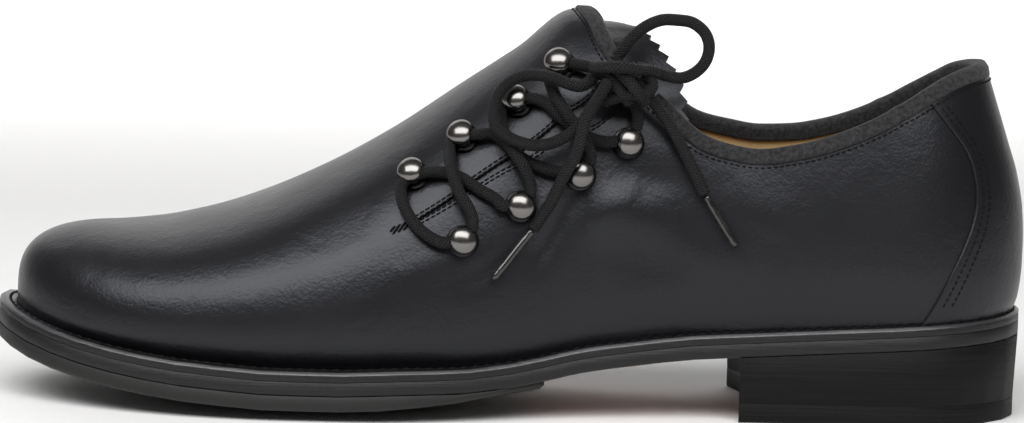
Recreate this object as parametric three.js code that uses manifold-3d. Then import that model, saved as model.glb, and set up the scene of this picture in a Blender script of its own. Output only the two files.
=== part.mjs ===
// A left haferl shoe: welted leather upper with a side slit, ball studs and a waxed lace.
// Millimetres. X runs from the back of the heel to the toe, +Y is the outer side, +Z is up from the floor.
import * as THREE from "three";
import Module from "manifold-3d";
import { mergeVertices } from "three/addons/utils/BufferGeometryUtils.js";

const wasm = await Module();
wasm.setup();

// The last
const lastLength = 288;
const ballWidth = 92;
const heelWidth = 62;
const toeBoxHeight = 48.4;
const instepHeight = 114;
const heelRidge = 128;
const heelLean = 12.6;
const toeOffset = 5;
const sideBulge = 4.4;

// The collar's heights above the floor
const backHeight = 101;
const collarDip = 76;
const innerRise = 2;
const collarFront = 114.5;

// The sole's layers
const halfSoleThickness = 4.1;
const outsoleThickness = 4;
const weltThickness = 2.6;
const insoleThickness = 4;
const topPieceThickness = 5.5;
const heelSeatHeight = 23.9;
const breastHeight = 19;
const toeSpring = 16;
const crownHeight = 3.1;
const crownShare = 0.6;
const heelLength = 79;
const breastHollow = 4;
const halfSoleLength = 153;
const skivedEdge = 1;
const edgeRound = 0.8;

// How far the sole's edge stands out past the last
const toeExtension = 5;
const ballExtension = 7.2;
const waistExtension = 4;
const heelExtension = 3;

// Walls
const upperWall = 2.2;
const tongueThickness = 1.6;
const tongueGap = 2;
const counterThickness = 1;
const bindingThickness = 1.3;
const bindingOutside = 3.3;
const bindingInside = 4.5;
const laceDiameter = 3.2;
const agletDiameter = 2.9;
const studHeight = 6.2;
const studDiameter = 8.2;
const studBaseDiameter = 9.3;
const clearance = 0.3;
const toeTilt = THREE.MathUtils.degToRad(9);

const heelBack = 3.2;
const heelStart = 0.13;
const toeStart = 0.76;
const ridgeEnd = 0.89;
const ridgeEndPower = 3.2;
const collarEnd = 0.436;
const quarterTurn = Math.PI / 2;

// The side lines of the last's sole, as shares of its mean half width, before its ends are rounded.
const sideLines = [
  { at: 0, outer: 0.97, inner: 0.97 },
  { at: 0.13, outer: 1.01, inner: 1 },
  { at: 0.25, outer: 0.94, inner: 0.88 },
  { at: 0.35, outer: 0.83, inner: 0.7 },
  { at: 0.45, outer: 0.81, inner: 0.66 },
  { at: 0.55, outer: 0.87, inner: 0.8 },
  { at: 0.65, outer: 0.93, inner: 0.975 },
  { at: 0.73, outer: 0.925, inner: 1.04 },
  { at: 0.82, outer: 0.885, inner: 1.03 },
  { at: 0.91, outer: 0.83, inner: 0.98 },
  { at: 1, outer: 0.77, inner: 0.92 },
];

// The sections: bulge as a share of the side bulge, low is the height of the widest line over the welt,
// ridge is the top's height between the toe box and the instep, shift moves it off the centre line.
const sections = [
  { at: 0, bulge: 0.6, low: 16.2, power: 1.7, shift: 0 },
  { at: 0.13, bulge: 0.6, low: 16.5, power: 1.7, shift: 0 },
  { at: 0.3, bulge: 0.8, low: 17, power: 1.9, shift: 0 },
  { at: 0.44, bulge: 1, low: 14.3, power: 2.1, shift: -0.02 },
  { at: 0.6, bulge: 1, low: 10.5, power: 2.1, shift: -0.05 },
  { at: 0.75, bulge: 0.9, low: 8.8, power: 2.2, shift: -0.07 },
  { at: 0.9, bulge: 0.6, low: 5.4, power: 2.3, shift: -0.065 },
  { at: 1, bulge: 0, low: 2.2, power: 2.3, shift: -0.055 },
];

const ridgeLine = [
  { at: 0.22, rise: 0.932 },
  { at: 0.35, rise: 0.981 },
  { at: 0.4, rise: 1 },
  { at: 0.447, rise: 1 },
  { at: 0.504, rise: 0.82 },
  { at: 0.56, rise: 0.65 },
  { at: 0.625, rise: 0.449 },
  { at: 0.691, rise: 0.279 },
  { at: 0.757, rise: 0.145 },
  { at: 0.81, rise: 0.067 },
  { at: 0.86, rise: 0.021 },
  { at: 0.906, rise: 0.004 },
  { at: 1, rise: 0 },
];

// The collar: outer and inner are the shares of the rise from the dip to the back on each side,
// and front is that of the rise to the instep.
const collarLine = [
  { at: 0, outer: 1, inner: 1, front: 0 },
  { at: 0.03, outer: 0.995, inner: 0.975, front: 0 },
  { at: 0.06, outer: 0.965, inner: 0.909, front: 0 },
  { at: 0.085, outer: 0.89, inner: 0.761, front: 0 },
  { at: 0.106, outer: 0.76, inner: 0.591, front: 0 },
  { at: 0.138, outer: 0.484, inner: 0.296, front: 0 },
  { at: 0.19, outer: 0.216, inner: 0.074, front: 0 },
  { at: 0.22, outer: 0.112, inner: 0.013, front: 0 },
  { at: 0.252, outer: 0.044, inner: 0, front: 0 },
  { at: 0.285, outer: 0, inner: 0, front: 0.04 },
  { at: 0.315, outer: 0, inner: 0, front: 0.1 },
  { at: 0.365, outer: 0, inner: 0, front: 0.4 },
  { at: 0.401, outer: 0, inner: 0, front: 0.64 },
  { at: 0.413, outer: 0, inner: 0, front: 0.76 },
  { at: 0.425, outer: 0, inner: 0, front: 0.93 },
  { at: 0.436, outer: 0, inner: 0, front: 1 },
];

// The back of the heel: lean is how far it stands in from its rearmost line, by height over the floor.
const backLine = [
  { at: 0, lean: 0.227 },
  { at: 0.28, lean: 0.218 },
  { at: 0.35, lean: 0.07 },
  { at: 0.43, lean: 0.009 },
  { at: 0.5, lean: 0.004 },
  { at: 0.59, lean: 0.045 },
  { at: 0.69, lean: 0.194 },
  { at: 0.79, lean: 0.45 },
  { at: 0.89, lean: 0.71 },
  { at: 1, lean: 1 },
];

// Lift of the tread's middle from the half sole's back end to the toe, as shares of the toe spring,
// and the crown, which is how far the sole's edges stand above its middle, as shares of its height.
const treadLine = [
  { at: 0, lift: 0.42, crown: 0.85 },
  { at: 0.064, lift: 0.3, crown: 0.9 },
  { at: 0.136, lift: 0.17, crown: 0.95 },
  { at: 0.208, lift: 0.09, crown: 1 },
  { at: 0.28, lift: 0.03, crown: 1 },
  { at: 0.33, lift: 0, crown: 1 },
  { at: 0.47, lift: 0, crown: 1 },
  { at: 0.567, lift: 0.05, crown: 1 },
  { at: 0.64, lift: 0.1, crown: 0.96 },
  { at: 0.717, lift: 0.19, crown: 0.88 },
  { at: 0.776, lift: 0.285, crown: 0.78 },
  { at: 0.835, lift: 0.41, crown: 0.65 },
  { at: 0.894, lift: 0.57, crown: 0.48 },
  { at: 0.94, lift: 0.73, crown: 0.3 },
  { at: 0.979, lift: 0.9, crown: 0.12 },
  { at: 1, lift: 1, crown: 0 },
];

// The waist: drop of the outsole's lower edge from the breast to the half sole's back end.
const waistLine = [
  { at: 0, drop: 0 },
  { at: 0.25, drop: 0.12 },
  { at: 0.5, drop: 0.33 },
  { at: 0.75, drop: 0.59 },
  { at: 1, drop: 1 },
];

// A smooth line through one column of a table, with no overshoot between its rows.
function along(rows, column) {
  const at = rows.map((row) => row.at);
  const value = rows.map((row) => row[column]);
  const rise = at.slice(1).map((end, i) => (value[i + 1] - value[i]) / (end - at[i]));
  const slope = at.map((_, i) => {
    const before = rise[Math.max(i - 1, 0)];
    const after = rise[Math.min(i, rise.length - 1)];
    return before * after <= 0 ? 0 : (2 * before * after) / (before + after);
  });
  return (place) => {
    const x = Math.min(Math.max(place, at[0]), at[at.length - 1]);
    const i = Math.max(at.findIndex((end, k) => k > 0 && x <= end) - 1, 0);
    const span = at[i + 1] - at[i];
    const t = (x - at[i]) / span;
    const turn = t * t * (3 - 2 * t);
    return (
      value[i] * (1 - turn) +
      value[i + 1] * turn +
      span * t * (1 - t) * (slope[i] * (1 - t) - slope[i + 1] * t)
    );
  };
}

const sideShare = { 1: along(sideLines, "outer"), "-1": along(sideLines, "inner") };
const bulgeShare = along(sections, "bulge");
const lowHeight = along(sections, "low");
const sectionPower = along(sections, "power");
const ridgeShift = along(sections, "shift");
const ridgeRise = along(ridgeLine, "rise");
const collarBack = { "1": along(collarLine, "outer"), "-1": along(collarLine, "inner") };
const collarRise = along(collarLine, "front");
const backLean = along(backLine, "lean");
const treadLift = along(treadLine, "lift");
const treadCrown = along(treadLine, "crown");
const waistDrop = along(waistLine, "drop");

const mix = (a, b, t) => a + (b - a) * t;
const clamp01 = (t) => Math.min(Math.max(t, 0), 1);
const smoothStep = (t) => clamp01(t) ** 2 * (3 - 2 * clamp01(t));
const roundEnd = (t, power) => (1 - clamp01(t) ** power) ** (1 / power);
const range = (count) => Array.from({ length: count }, (_, i) => i);
const point = (x, y, z) => new THREE.Vector3(x, y, z);
const xAt = (share) => heelBack + share * lastLength;
const shareAt = (x) => (x - heelBack) / lastLength;

// Heights of the sole's faces above the floor, by X
const toeTip = heelBack + lastLength + toeExtension;
const halfSoleStart = toeTip - halfSoleLength;
const breastX = heelBack - heelExtension + heelLength;
const soleShare = (x) => (x - halfSoleStart) / halfSoleLength;
const treadHeight = (x) => toeSpring * treadLift(soleShare(x));
const crownAt = (x) =>
  crownHeight * treadCrown(soleShare(x)) * smoothStep((x - breastX) / (halfSoleStart - breastX));
const edgeHeight = (x) => treadHeight(x) + crownAt(x);
const skiveEnd = 0.3;

function outsoleBottom(x) {
  const frontEnd = edgeHeight(halfSoleStart) + skivedEdge + clearance;
  if (x <= breastX) return mix(heelSeatHeight, breastHeight, clamp01(x / breastX));
  if (x < halfSoleStart) {
    return mix(breastHeight, frontEnd, waistDrop((x - breastX) / (halfSoleStart - breastX)));
  }
  const thick = smoothStep(soleShare(x) / skiveEnd);
  return edgeHeight(x) + mix(skivedEdge, halfSoleThickness, thick) + clearance;
}

const outsoleTop = (x) => outsoleBottom(x) + outsoleThickness;
const weltTop = (x) => outsoleTop(x) + clearance + weltThickness;

// The featherline, where the upper turns under: half width to one side, at a share of the last's length.
function featherY(share, side) {
  const mean = mix(heelWidth, ballWidth, smoothStep((share - 0.15) / 0.47)) / 2;
  const straight = side * mean * sideShare[side](share);
  if (share < heelStart) return straight * roundEnd(1 - share / heelStart, 2.2);
  return mix(-toeOffset, straight, roundEnd((share - toeStart) / (1 - toeStart), 2.3));
}

// The last's outer surface. Side is 1 outside and -1 inside. Level is -2 on the outsole, -1 at the welt,
// 0 at the widest line and 1 on the ridge.
function sectionAt(share, side) {
  const x = xAt(share);
  const middle = ridgeShift(share) * ballWidth;
  const foot = featherY(Math.max(share, heelStart), side);
  const wide = foot + side * bulgeShare(share) * sideBulge;
  const low = weltTop(x) + lowHeight(share);
  const open = toeBoxHeight + (instepHeight - toeBoxHeight) * ridgeRise(share);
  const rear = mix(heelRidge, open, smoothStep((share - heelStart) / 0.14));
  const closing = roundEnd((share - ridgeEnd) / (1 - ridgeEnd), ridgeEndPower);
  return { x, middle, foot, wide, low, ridge: mix(low, rear, closing), power: sectionPower(share) };
}

const heelCentre = xAt(heelStart);
const backX = (z) => 1 + heelLean * backLean(z / backHeight);

function skin(share, side, level) {
  const at = sectionAt(share >= heelStart ? share : heelStart, side);
  const turn = (share / heelStart) * quarterTurn;
  const seatX = share >= heelStart ? at.x : heelCentre * (1 - Math.cos(turn)) + heelBack;
  const bottom = outsoleTop(seatX) + clearance;
  const ledge = weltTop(seatX);
  let y = at.foot;
  let z = mix(ledge, bottom, -1 - level);
  if (level > 0) {
    const angle = Math.min(level, 1) * quarterTurn;
    z = mix(at.low, at.ridge, Math.sin(angle) ** (2 / at.power));
    y = mix(at.middle, at.wide, Math.abs(Math.cos(angle)) ** (2 / at.power));
  } else if (level > -1) {
    z = mix(at.low, ledge, -level);
    y = mix(at.wide, at.foot, level * level);
  }
  if (share >= heelStart) return point(at.x, y, z);
  const depth = heelCentre - backX(z);
  const roundness = 2 / 2.2;
  return point(
    heelCentre - depth * Math.max(Math.cos(turn), 0) ** roundness,
    y * Math.sin(turn) ** roundness,
    z,
  );
}

// The level of the collar's edge at one share of the length
function collarLevel(share, side) {
  if (share >= collarEnd) return 1;
  const at = sectionAt(Math.max(share, heelStart), side);
  const rear = collarDip + (side < 0 ? innerRise : 0);
  const z = rear + (backHeight - rear) * collarBack[side](share) + (collarFront - rear) * collarRise(share);
  const part = clamp01((z - at.low) / (at.ridge - at.low));
  return Math.asin(part ** (at.power / 2)) / quarterTurn;
}

// Solids from triangles. Points that coincide are merged, and triangles that collapse are left out.
function solidOf(corners) {
  const flat = new Float32Array(corners.flatMap((p) => [p.x, p.y, p.z]));
  const loose = new THREE.BufferGeometry().setAttribute("position", new THREE.BufferAttribute(flat, 3));
  const merged = mergeVertices(loose, 1e-3);
  const index = [];
  for (let i = 0; i < merged.index.count; i += 3) {
    const [a, b, c] = [0, 1, 2].map((k) => merged.index.getX(i + k));
    if (a !== b && b !== c && c !== a) index.push(a, b, c);
  }
  return new wasm.Manifold(
    new wasm.Mesh({
      numProp: 3,
      vertProperties: merged.attributes.position.array,
      triVerts: new Uint32Array(index),
    }),
  );
}

function solidOfGeometry(geometry) {
  const plain = geometry.index ? geometry.toNonIndexed() : geometry;
  const at = plain.getAttribute("position");
  return solidOf(range(at.count).map((i) => new THREE.Vector3().fromBufferAttribute(at, i)));
}

function geometryOf(solid) {
  const mesh = solid.getMesh();
  const flat = new Float32Array(mesh.numVert * 3);
  for (let i = 0; i < mesh.numVert; i += 1) {
    flat.set(mesh.vertProperties.subarray(i * mesh.numProp, i * mesh.numProp + 3), i * 3);
  }
  const geometry = new THREE.BufferGeometry();
  geometry.setAttribute("position", new THREE.BufferAttribute(flat, 3));
  geometry.setIndex(new THREE.BufferAttribute(new Uint32Array(mesh.triVerts), 1));
  return geometry;
}

const quad = (a, b, c, d) => [a, b, c, a, c, d];

// A plate: each level is one outline, from the top down, with its outer and inner side lines.
function plate(levels) {
  const corners = [];
  const loops = levels.map(({ outer, inner }) => [...outer, ...inner.slice().reverse()]);
  loops.slice(1).forEach((low, k) => {
    const high = loops[k];
    low.forEach((p, i) => {
      const next = (i + 1) % low.length;
      corners.push(...quad(high[i], high[next], low[next], p));
    });
  });
  const cap = ({ outer, inner }, up) =>
    outer.slice(1).forEach((p, i) => {
      const face = [outer[i], inner[i], inner[i + 1], p];
      corners.push(...quad(...(up ? face : face.reverse())));
    });
  cap(levels[0], true);
  cap(levels[levels.length - 1], false);
  return solidOf(corners);
}

// A ring: closed loops joined one to the next, and the last to the first.
function ring(loops) {
  const corners = [];
  loops.forEach((loop, k) => {
    const next = loops[(k + 1) % loops.length];
    loop.forEach((p, i) => {
      const j = (i + 1) % loop.length;
      corners.push(...quad(p, loop[j], next[j], next[i]));
    });
  });
  return solidOf(corners);
}

// A sheet given as a grid of points and thickened from `inward` to `outward` along its own normals.
// Rows that share their ends are merged. A fixed row keeps its height.
function shell(grid, outward, inward, keepFirstRow = false) {
  const keyOf = (p) => [p.x, p.y, p.z].map((v) => Math.round(v * 500)).join();
  const normals = new Map();
  const faces = [];
  grid.slice(1).forEach((column, i) =>
    column.slice(1).forEach((p, j) => {
      const [a, b, c, d] = [grid[i][j], grid[i + 1][j], p, grid[i][j + 1]];
      faces.push([a, b, c], [a, c, d]);
    }),
  );
  const real = faces.filter((f) => new Set(f.map(keyOf)).size === 3);
  real.forEach((f) => {
    const normal = f[1].clone().sub(f[0]).cross(f[2].clone().sub(f[0]));
    f.forEach((p) => {
      const key = keyOf(p);
      if (!normals.has(key)) normals.set(key, new THREE.Vector3());
      normals.get(key).add(normal);
    });
  });
  const first = new Set(keepFirstRow ? grid.map((column) => keyOf(column[0])) : []);
  const spots = new Map();
  const moved = (p, distance) => {
    const key = keyOf(p);
    const spotKey = key + "|" + distance;
    if (!spots.has(spotKey)) {
      const normal = normals.get(key).clone();
      if (first.has(key)) normal.z = 0;
      spots.set(spotKey, p.clone().addScaledVector(normal.normalize(), distance));
    }
    return spots.get(spotKey).clone();
  };
  const corners = [];
  const edges = new Map();
  real.forEach((f) => {
    corners.push(...f.map((p) => moved(p, outward)));
    corners.push(...f.map((p) => moved(p, -inward)).reverse());
    f.forEach((p, k) => {
      const q = f[(k + 1) % 3];
      const back = keyOf(q) + "|" + keyOf(p);
      if (edges.has(back)) edges.delete(back);
      else edges.set(keyOf(p) + "|" + keyOf(q), [p, q]);
    });
  });
  edges.forEach(([p, q]) => {
    corners.push(...quad(moved(q, outward), moved(p, outward), moved(p, -inward), moved(q, -inward)));
  });
  return solidOf(corners);
}

// The shoe's meshes
const group = new THREE.Group();

const finishes = {
  leather: { color: 0x111113, roughness: 0.3, metalness: 0 },
  suede: { color: 0x2b2b2e, roughness: 0.95, metalness: 0 },
  sole: { color: 0x15130f, roughness: 0.5, metalness: 0 },
  rubber: { color: 0x101010, roughness: 0.7, metalness: 0 },
  nickel: { color: 0x9a9a9c, roughness: 0.2, metalness: 1 },
  lace: { color: 0x0d0d0e, roughness: 0.6, metalness: 0 },
  aglet: { color: 0x1c1a18, roughness: 0.25, metalness: 0 },
  lining: { color: 0xb98a5c, roughness: 0.8, metalness: 0 },
};

function add(name, solid, finish) {
  const mesh = new THREE.Mesh(geometryOf(solid), new THREE.MeshStandardMaterial(finishes[finish]));
  mesh.name = name;
  group.add(mesh);
}

// Stations along the last, close together at its rounded ends
const heelSteps = 6;
const toeSteps = 8;
const heelTurns = range(heelSteps).map((i) => heelStart * (i / heelSteps));
const toeTurns = range(toeSteps).map((i) => mix(0.86, 1, Math.sin((i / (toeSteps - 1)) * quarterTurn)));
const stations = [
  ...heelTurns,
  ...[0.13, 0.17, 0.21, 0.25, 0.29, 0.325, 0.355, 0.38, 0.4, 0.415, 0.427],
  ...[collarEnd, 0.449, 0.475, 0.51, 0.55, 0.59, 0.63, 0.67, 0.71, 0.75, 0.79, 0.83],
  ...toeTurns,
];

// How far the sole's edge stands out at a share of the length
function extensionAt(share) {
  const front = mix(waistExtension, ballExtension, smoothStep((share - 0.45) / 0.2));
  const toward = mix(front, toeExtension, smoothStep((share - 0.75) / 0.25));
  return mix(heelExtension, toward, smoothStep((share - 0.2) / 0.2));
}

// The toe's edge leans with the toe spring, so its lower faces reach further forward.
const toeLean = (share, depth) => depth * Math.tan(toeTilt) * smoothStep((share - 0.85) / 0.15);

// The featherline moved outward by a margin, which may change along it, at the heights of one face.
function outline(margin, height, shares = stations) {
  const raw = [
    ...shares.map((share) => ({ share, side: 1 })),
    ...shares.slice().reverse().map((share) => ({ share, side: -1 })),
  ].map((place) => ({ ...place, at: skin(place.share, place.side, -1).setZ(0) }));
  const far = (from, step) => {
    let k = from;
    do k = (k + step + raw.length) % raw.length;
    while (raw[k].at.distanceTo(raw[from].at) < 1e-6);
    return raw[k].at;
  };
  const closedLoop = shares === stations;
  const moved = raw.map(({ share, side, at }, i) => {
    const ahead = !closedLoop && i === shares.length - 1 ? at : far(i, 1);
    const behind = !closedLoop && i === shares.length ? at : far(i, -1);
    const direction = ahead.clone().sub(behind);
    const normal = point(-direction.y, direction.x, 0).normalize();
    const out = at.clone().addScaledVector(normal, margin(share, side));
    out.z = height(out.x);
    return out;
  });
  return { outer: moved.slice(0, shares.length), inner: moved.slice(shares.length).reverse() };
}

// The same outline drawn in toward its middle, at the heights of the crown's lowest part
function crowned({ outer, inner }, height) {
  const drawn = (line, other) =>
    line.map((p, i) => point(p.x, mix((p.y + other[i].y) / 2, p.y, crownShare), height(p.x)));
  return { outer: drawn(outer, inner), inner: drawn(inner, outer) };
}

const loopOf = ({ outer, inner }) => [...outer, ...inner.slice(1, -1).reverse()];

// Outsole, with a lightly rounded edge
const edge = (inset, depth = 0) => (share) => extensionAt(share) - inset + toeLean(share, depth);
const outsoleDepth = weltThickness + clearance;
const halfSoleDepth = outsoleDepth + outsoleThickness + clearance;
const shifted = (height, by) => (x) => height(x) + by;
const soleEase = 0.4;
add(
  "outsole",
  plate([
    outline(edge(0, outsoleDepth), outsoleTop),
    outline(edge(0, outsoleDepth + outsoleThickness), shifted(outsoleBottom, soleEase)),
    outline(edge(soleEase, outsoleDepth + outsoleThickness), outsoleBottom),
    crowned(outline(edge(soleEase, outsoleDepth), outsoleBottom), (x) => outsoleBottom(x) - crownAt(x)),
  ]),
  "sole",
);

// Welt: a bevelled strip all round, outside the upper
const weltBevel = 0.9;
add(
  "welt",
  ring([
    loopOf(outline(edge(weltBevel), weltTop)),
    loopOf(outline(edge(0), shifted(weltTop, -weltBevel))),
    loopOf(outline(edge(0, weltThickness), shifted(outsoleTop, clearance))),
    loopOf(outline(() => clearance, shifted(outsoleTop, clearance))),
    loopOf(outline(() => clearance, weltTop)),
  ]),
  "sole",
);

// Insole
const insoleMargin = () => -upperWall - 2 * clearance;
add(
  "insole",
  plate([
    outline(insoleMargin, shifted(outsoleTop, clearance + insoleThickness)),
    outline(insoleMargin, shifted(outsoleTop, clearance)),
  ]),
  "lining",
);

// Half sole of rubber under the forefoot, skived thin at its back end
const halfSoleSteps = 10;
const frontStations = [
  ...range(halfSoleSteps).map((i) => mix(shareAt(halfSoleStart), toeTurns[0], i / halfSoleSteps)),
  ...toeTurns,
];
const halfSoleTop = shifted(outsoleBottom, -clearance);
const roundShare = 0.6;
const roundUp = (x) => Math.min(edgeRound, (halfSoleTop(x) - edgeHeight(x)) * roundShare);
add(
  "half_sole",
  plate([
    crowned(outline(edge(0, halfSoleDepth), halfSoleTop, frontStations), (x) => halfSoleTop(x) - crownAt(x)),
    outline(edge(0, halfSoleDepth), halfSoleTop, frontStations),
    outline(edge(0, halfSoleDepth), (x) => edgeHeight(x) + roundUp(x), frontStations),
    outline(edge(edgeRound, halfSoleDepth), edgeHeight, frontStations),
    crowned(outline(edge(edgeRound, halfSoleDepth), edgeHeight, frontStations), treadHeight),
  ]),
  "rubber",
);

// Heel block and its top piece, with a hollow breast
const heelStations = [
  ...heelTurns,
  ...range(6).map((i) => mix(heelStart, shareAt(breastX + breastHollow), i / 5)),
];
const breastRadius = 90;
const breastSet = 2;
const breastCutHeight = 80;
const breastSides = 96;
const breastCutter = new THREE.CylinderGeometry(breastRadius, breastRadius, breastCutHeight, breastSides);
breastCutter.rotateX(quarterTurn);
breastCutter.translate(breastX - breastSet + breastRadius, 0, 0);
const breast = solidOfGeometry(breastCutter);
const heelTaper = 0.8;
add(
  "heel_block",
  plate([
    outline(edge(0), shifted(outsoleBottom, -clearance), heelStations),
    outline(edge(heelTaper), () => topPieceThickness + clearance, heelStations),
  ]).subtract(breast),
  "sole",
);
add(
  "heel_top_piece",
  plate([
    outline(edge(heelTaper), () => topPieceThickness, heelStations),
    outline(edge(heelTaper), () => soleEase, heelStations),
    outline(edge(heelTaper + soleEase), () => 0, heelStations),
  ]).subtract(breast),
  "rubber",
);

// A grid of points on the last: one column for each share given, each with its own levels.
const sheetOf = (places, levelsAt) =>
  places.map(({ share, side }) => levelsAt(share, side).map((level) => skin(share, side, level)));
const bothSides = (shares) => [
  ...shares.slice(1).reverse().map((share) => ({ share, side: 1 })),
  ...shares.map((share) => ({ share, side: -1 })),
];

// Slit on the outer side: the levels of its two edges along the last
const slitLine = [
  { at: 0.355, upper: 0.8, lower: 0.545 },
  { at: 0.372, upper: 0.72, lower: 0.522 },
  { at: 0.39, upper: 0.655, lower: 0.487 },
  { at: 0.409, upper: 0.59, lower: 0.452 },
  { at: 0.43, upper: 0.505, lower: 0.411 },
  { at: 0.447, upper: 0.466, lower: 0.4 },
  { at: 0.48, upper: 0.434, lower: 0.393 },
  { at: 0.513, upper: 0.427, lower: 0.398 },
  { at: 0.545, upper: 0.409, lower: 0.386 },
  { at: 0.567, upper: 0.386, lower: 0.37 },
  { at: 0.603, upper: 0.358, lower: 0.35 },
];
const slitUpper = along(slitLine, "upper");
const slitLower = along(slitLine, "lower");
const slitSteps = 14;
const slitStart = slitLine[0].at;
const slitEnd = slitLine[slitLine.length - 1].at;
const slitPlaces = range(slitSteps + 1).map((i) => ({
  share: mix(slitEnd, slitStart, i / slitSteps),
  side: 1,
}));
const slitReach = 3 * upperWall;
const slit = shell(
  sheetOf(slitPlaces, (share) => [slitLower(share), slitUpper(share)]),
  slitReach,
  slitReach,
);

// Counter: a raised patch round the heel, between the welt and the binding, with a hollow front edge
const counterLine = [
  { at: 0, front: 0.1125 },
  { at: 0.24, front: 0.1075 },
  { at: 0.46, front: 0.102 },
  { at: 0.62, front: 0.0955 },
  { at: 0.7, front: 0.0895 },
  { at: 0.75, front: 0.083 },
  { at: 0.8, front: 0.0785 },
  { at: 0.84, front: 0.0775 },
  { at: 0.88, front: 0.081 },
  { at: 0.92, front: 0.09 },
  { at: 0.96, front: 0.103 },
  { at: 1, front: 0.112 },
];
const counterFront = along(counterLine, "front");
const counterDrop = bindingOutside + 3 * clearance;
// The level that lies this far below the collar's edge along the wall; above it when the fall is negative
function levelBelowCollar(share, side, fall) {
  const top = collarLevel(share, side);
  const step = 0.05;
  const length = skin(share, side, top).distanceTo(skin(share, side, top - step));
  return top - (fall * step) / length;
}
const counterFoot = -0.8;
const counterColumns = 5;
const counterGrid = range(2 * counterColumns + 1).map((i) => {
  const part = (counterColumns - i) / counterColumns;
  const side = part > 0 ? 1 : -1;
  return counterLine.map(({ at: up }) => {
    const share = Math.abs(part) * counterFront(up);
    return skin(share, side, mix(counterFoot, levelBelowCollar(share, side, counterDrop), up));
  });
});
const counter = shell(counterGrid, counterThickness, upperWall / 2);

// Upper: one hollow wall. Columns run from the toe along the outer side, round the heel and back.
const lowLevels = [-2, -1, -0.5, 0];
const highSteps = 7;
const levelsToTop = (share, side) => [
  ...lowLevels,
  ...range(highSteps).map((i) => (collarLevel(share, side) * (i + 1)) / highSteps),
];
const upperWallSolid = shell(sheetOf(bothSides(stations), levelsToTop), 0, upperWall, true);
add("upper", upperWallSolid.subtract(slit).add(counter), "leather");

// Tongue: a sheet under the upper's front, with a pinked top edge
const tongueFront = 0.645;
const tongueRows = 5;
const tongueTeeth = 20;
const toothDepth = 2;
const tongueTop = [
  { at: -0.5, top: 0.368 },
  { at: -0.3, top: 0.374 },
  { at: -0.1, top: 0.386 },
  { at: 0, top: 0.391 },
  { at: 0.1, top: 0.3796 },
  { at: 0.2, top: 0.3675 },
  { at: 0.27, top: 0.3574 },
  { at: 0.335, top: 0.3493 },
  { at: 0.4, top: 0.342 },
  { at: 0.46, top: 0.3355 },
  { at: 0.6, top: 0.333 },
  { at: 0.74, top: 0.34 },
];
const tongueEnd = along(tongueTop, "top");
const outerReach = tongueTop[tongueTop.length - 1].at;
const innerReach = tongueTop[0].at;
const tongueGrid = range(2 * tongueTeeth + 1).map((i) => {
  const across = mix(outerReach, innerReach, i / (2 * tongueTeeth));
  const side = across < 0 ? -1 : 1;
  const tooth = i % 2 ? toothDepth / lastLength : 0;
  return range(tongueRows + 1).map((k) => {
    const share = mix(tongueEnd(across) + tooth, tongueFront, k / tongueRows);
    return skin(share, side, 1 - Math.abs(across));
  });
});
const tongueDepth = upperWall + tongueGap;
add("tongue", shell(tongueGrid, -tongueDepth, tongueDepth + tongueThickness), "leather");

// The outward normal of the last's surface at one place
function normalAt(share, side, level) {
  const step = 0.002;
  const low = Math.min(level, 1 - step);
  const ahead = skin(share + step, side, low).sub(skin(Math.abs(share - step), side, low));
  const above = skin(share, side, low + step).sub(skin(share, side, low - step));
  return above.cross(ahead).multiplyScalar(side).normalize();
}
const lifted = (share, side, level, lift) =>
  skin(share, side, level).addScaledVector(normalAt(share, side, level), lift);

// Binding: a strip folded over the collar's edge, from the slit's front corner round to its rear one
const cornerFront = 0.411;
const cornerRear = 0.3735;
const collarShares = stations.filter((share) => share <= collarEnd);
const bindingPlaces = [
  { share: cornerFront, side: 1 },
  ...collarShares.filter((share) => share > cornerFront).map((share) => ({ share, side: 1 })),
  ...collarShares.slice(0, -1).reverse().map((share) => ({ share, side: -1 })),
  ...collarShares.filter((share) => share > 0 && share < cornerRear).map((share) => ({ share, side: 1 })),
  { share: cornerRear, side: 1 },
];
const bindingPath = bindingPlaces.map(({ share, side }) => ({
  at: skin(share, side, collarLevel(share, side)),
  out: share === 0 ? point(-1, 0, 0) : normalAt(share, side, collarLevel(share, side)),
  down: skin(share, side, collarLevel(share, side) - 0.05),
}));
const bindingIn = -upperWall - clearance - bindingThickness;
const bindingOut = clearance + bindingThickness;
const bindingProfile = [
  [bindingOut, bindingOutside],
  [bindingOut, -clearance],
  [clearance / 2, -bindingOut],
  [-upperWall - clearance / 2, -bindingOut],
  [bindingIn, -clearance],
  [bindingIn, bindingInside],
];
const bindingLoops = bindingPath.map(({ at, out, down }, i) => {
  const next = bindingPath[Math.min(i + 1, bindingPath.length - 1)].at;
  const last = bindingPath[Math.max(i - 1, 0)].at;
  const run = next.clone().sub(last).normalize();
  const normal = out.clone().addScaledVector(run, -out.dot(run)).normalize();
  const drop = normal.clone().cross(run).normalize();
  if (drop.dot(down.clone().sub(at)) < 0) drop.negate();
  return bindingProfile.map(([off, fall]) =>
    at.clone().addScaledVector(normal, off).addScaledVector(drop, fall),
  );
});
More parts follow.
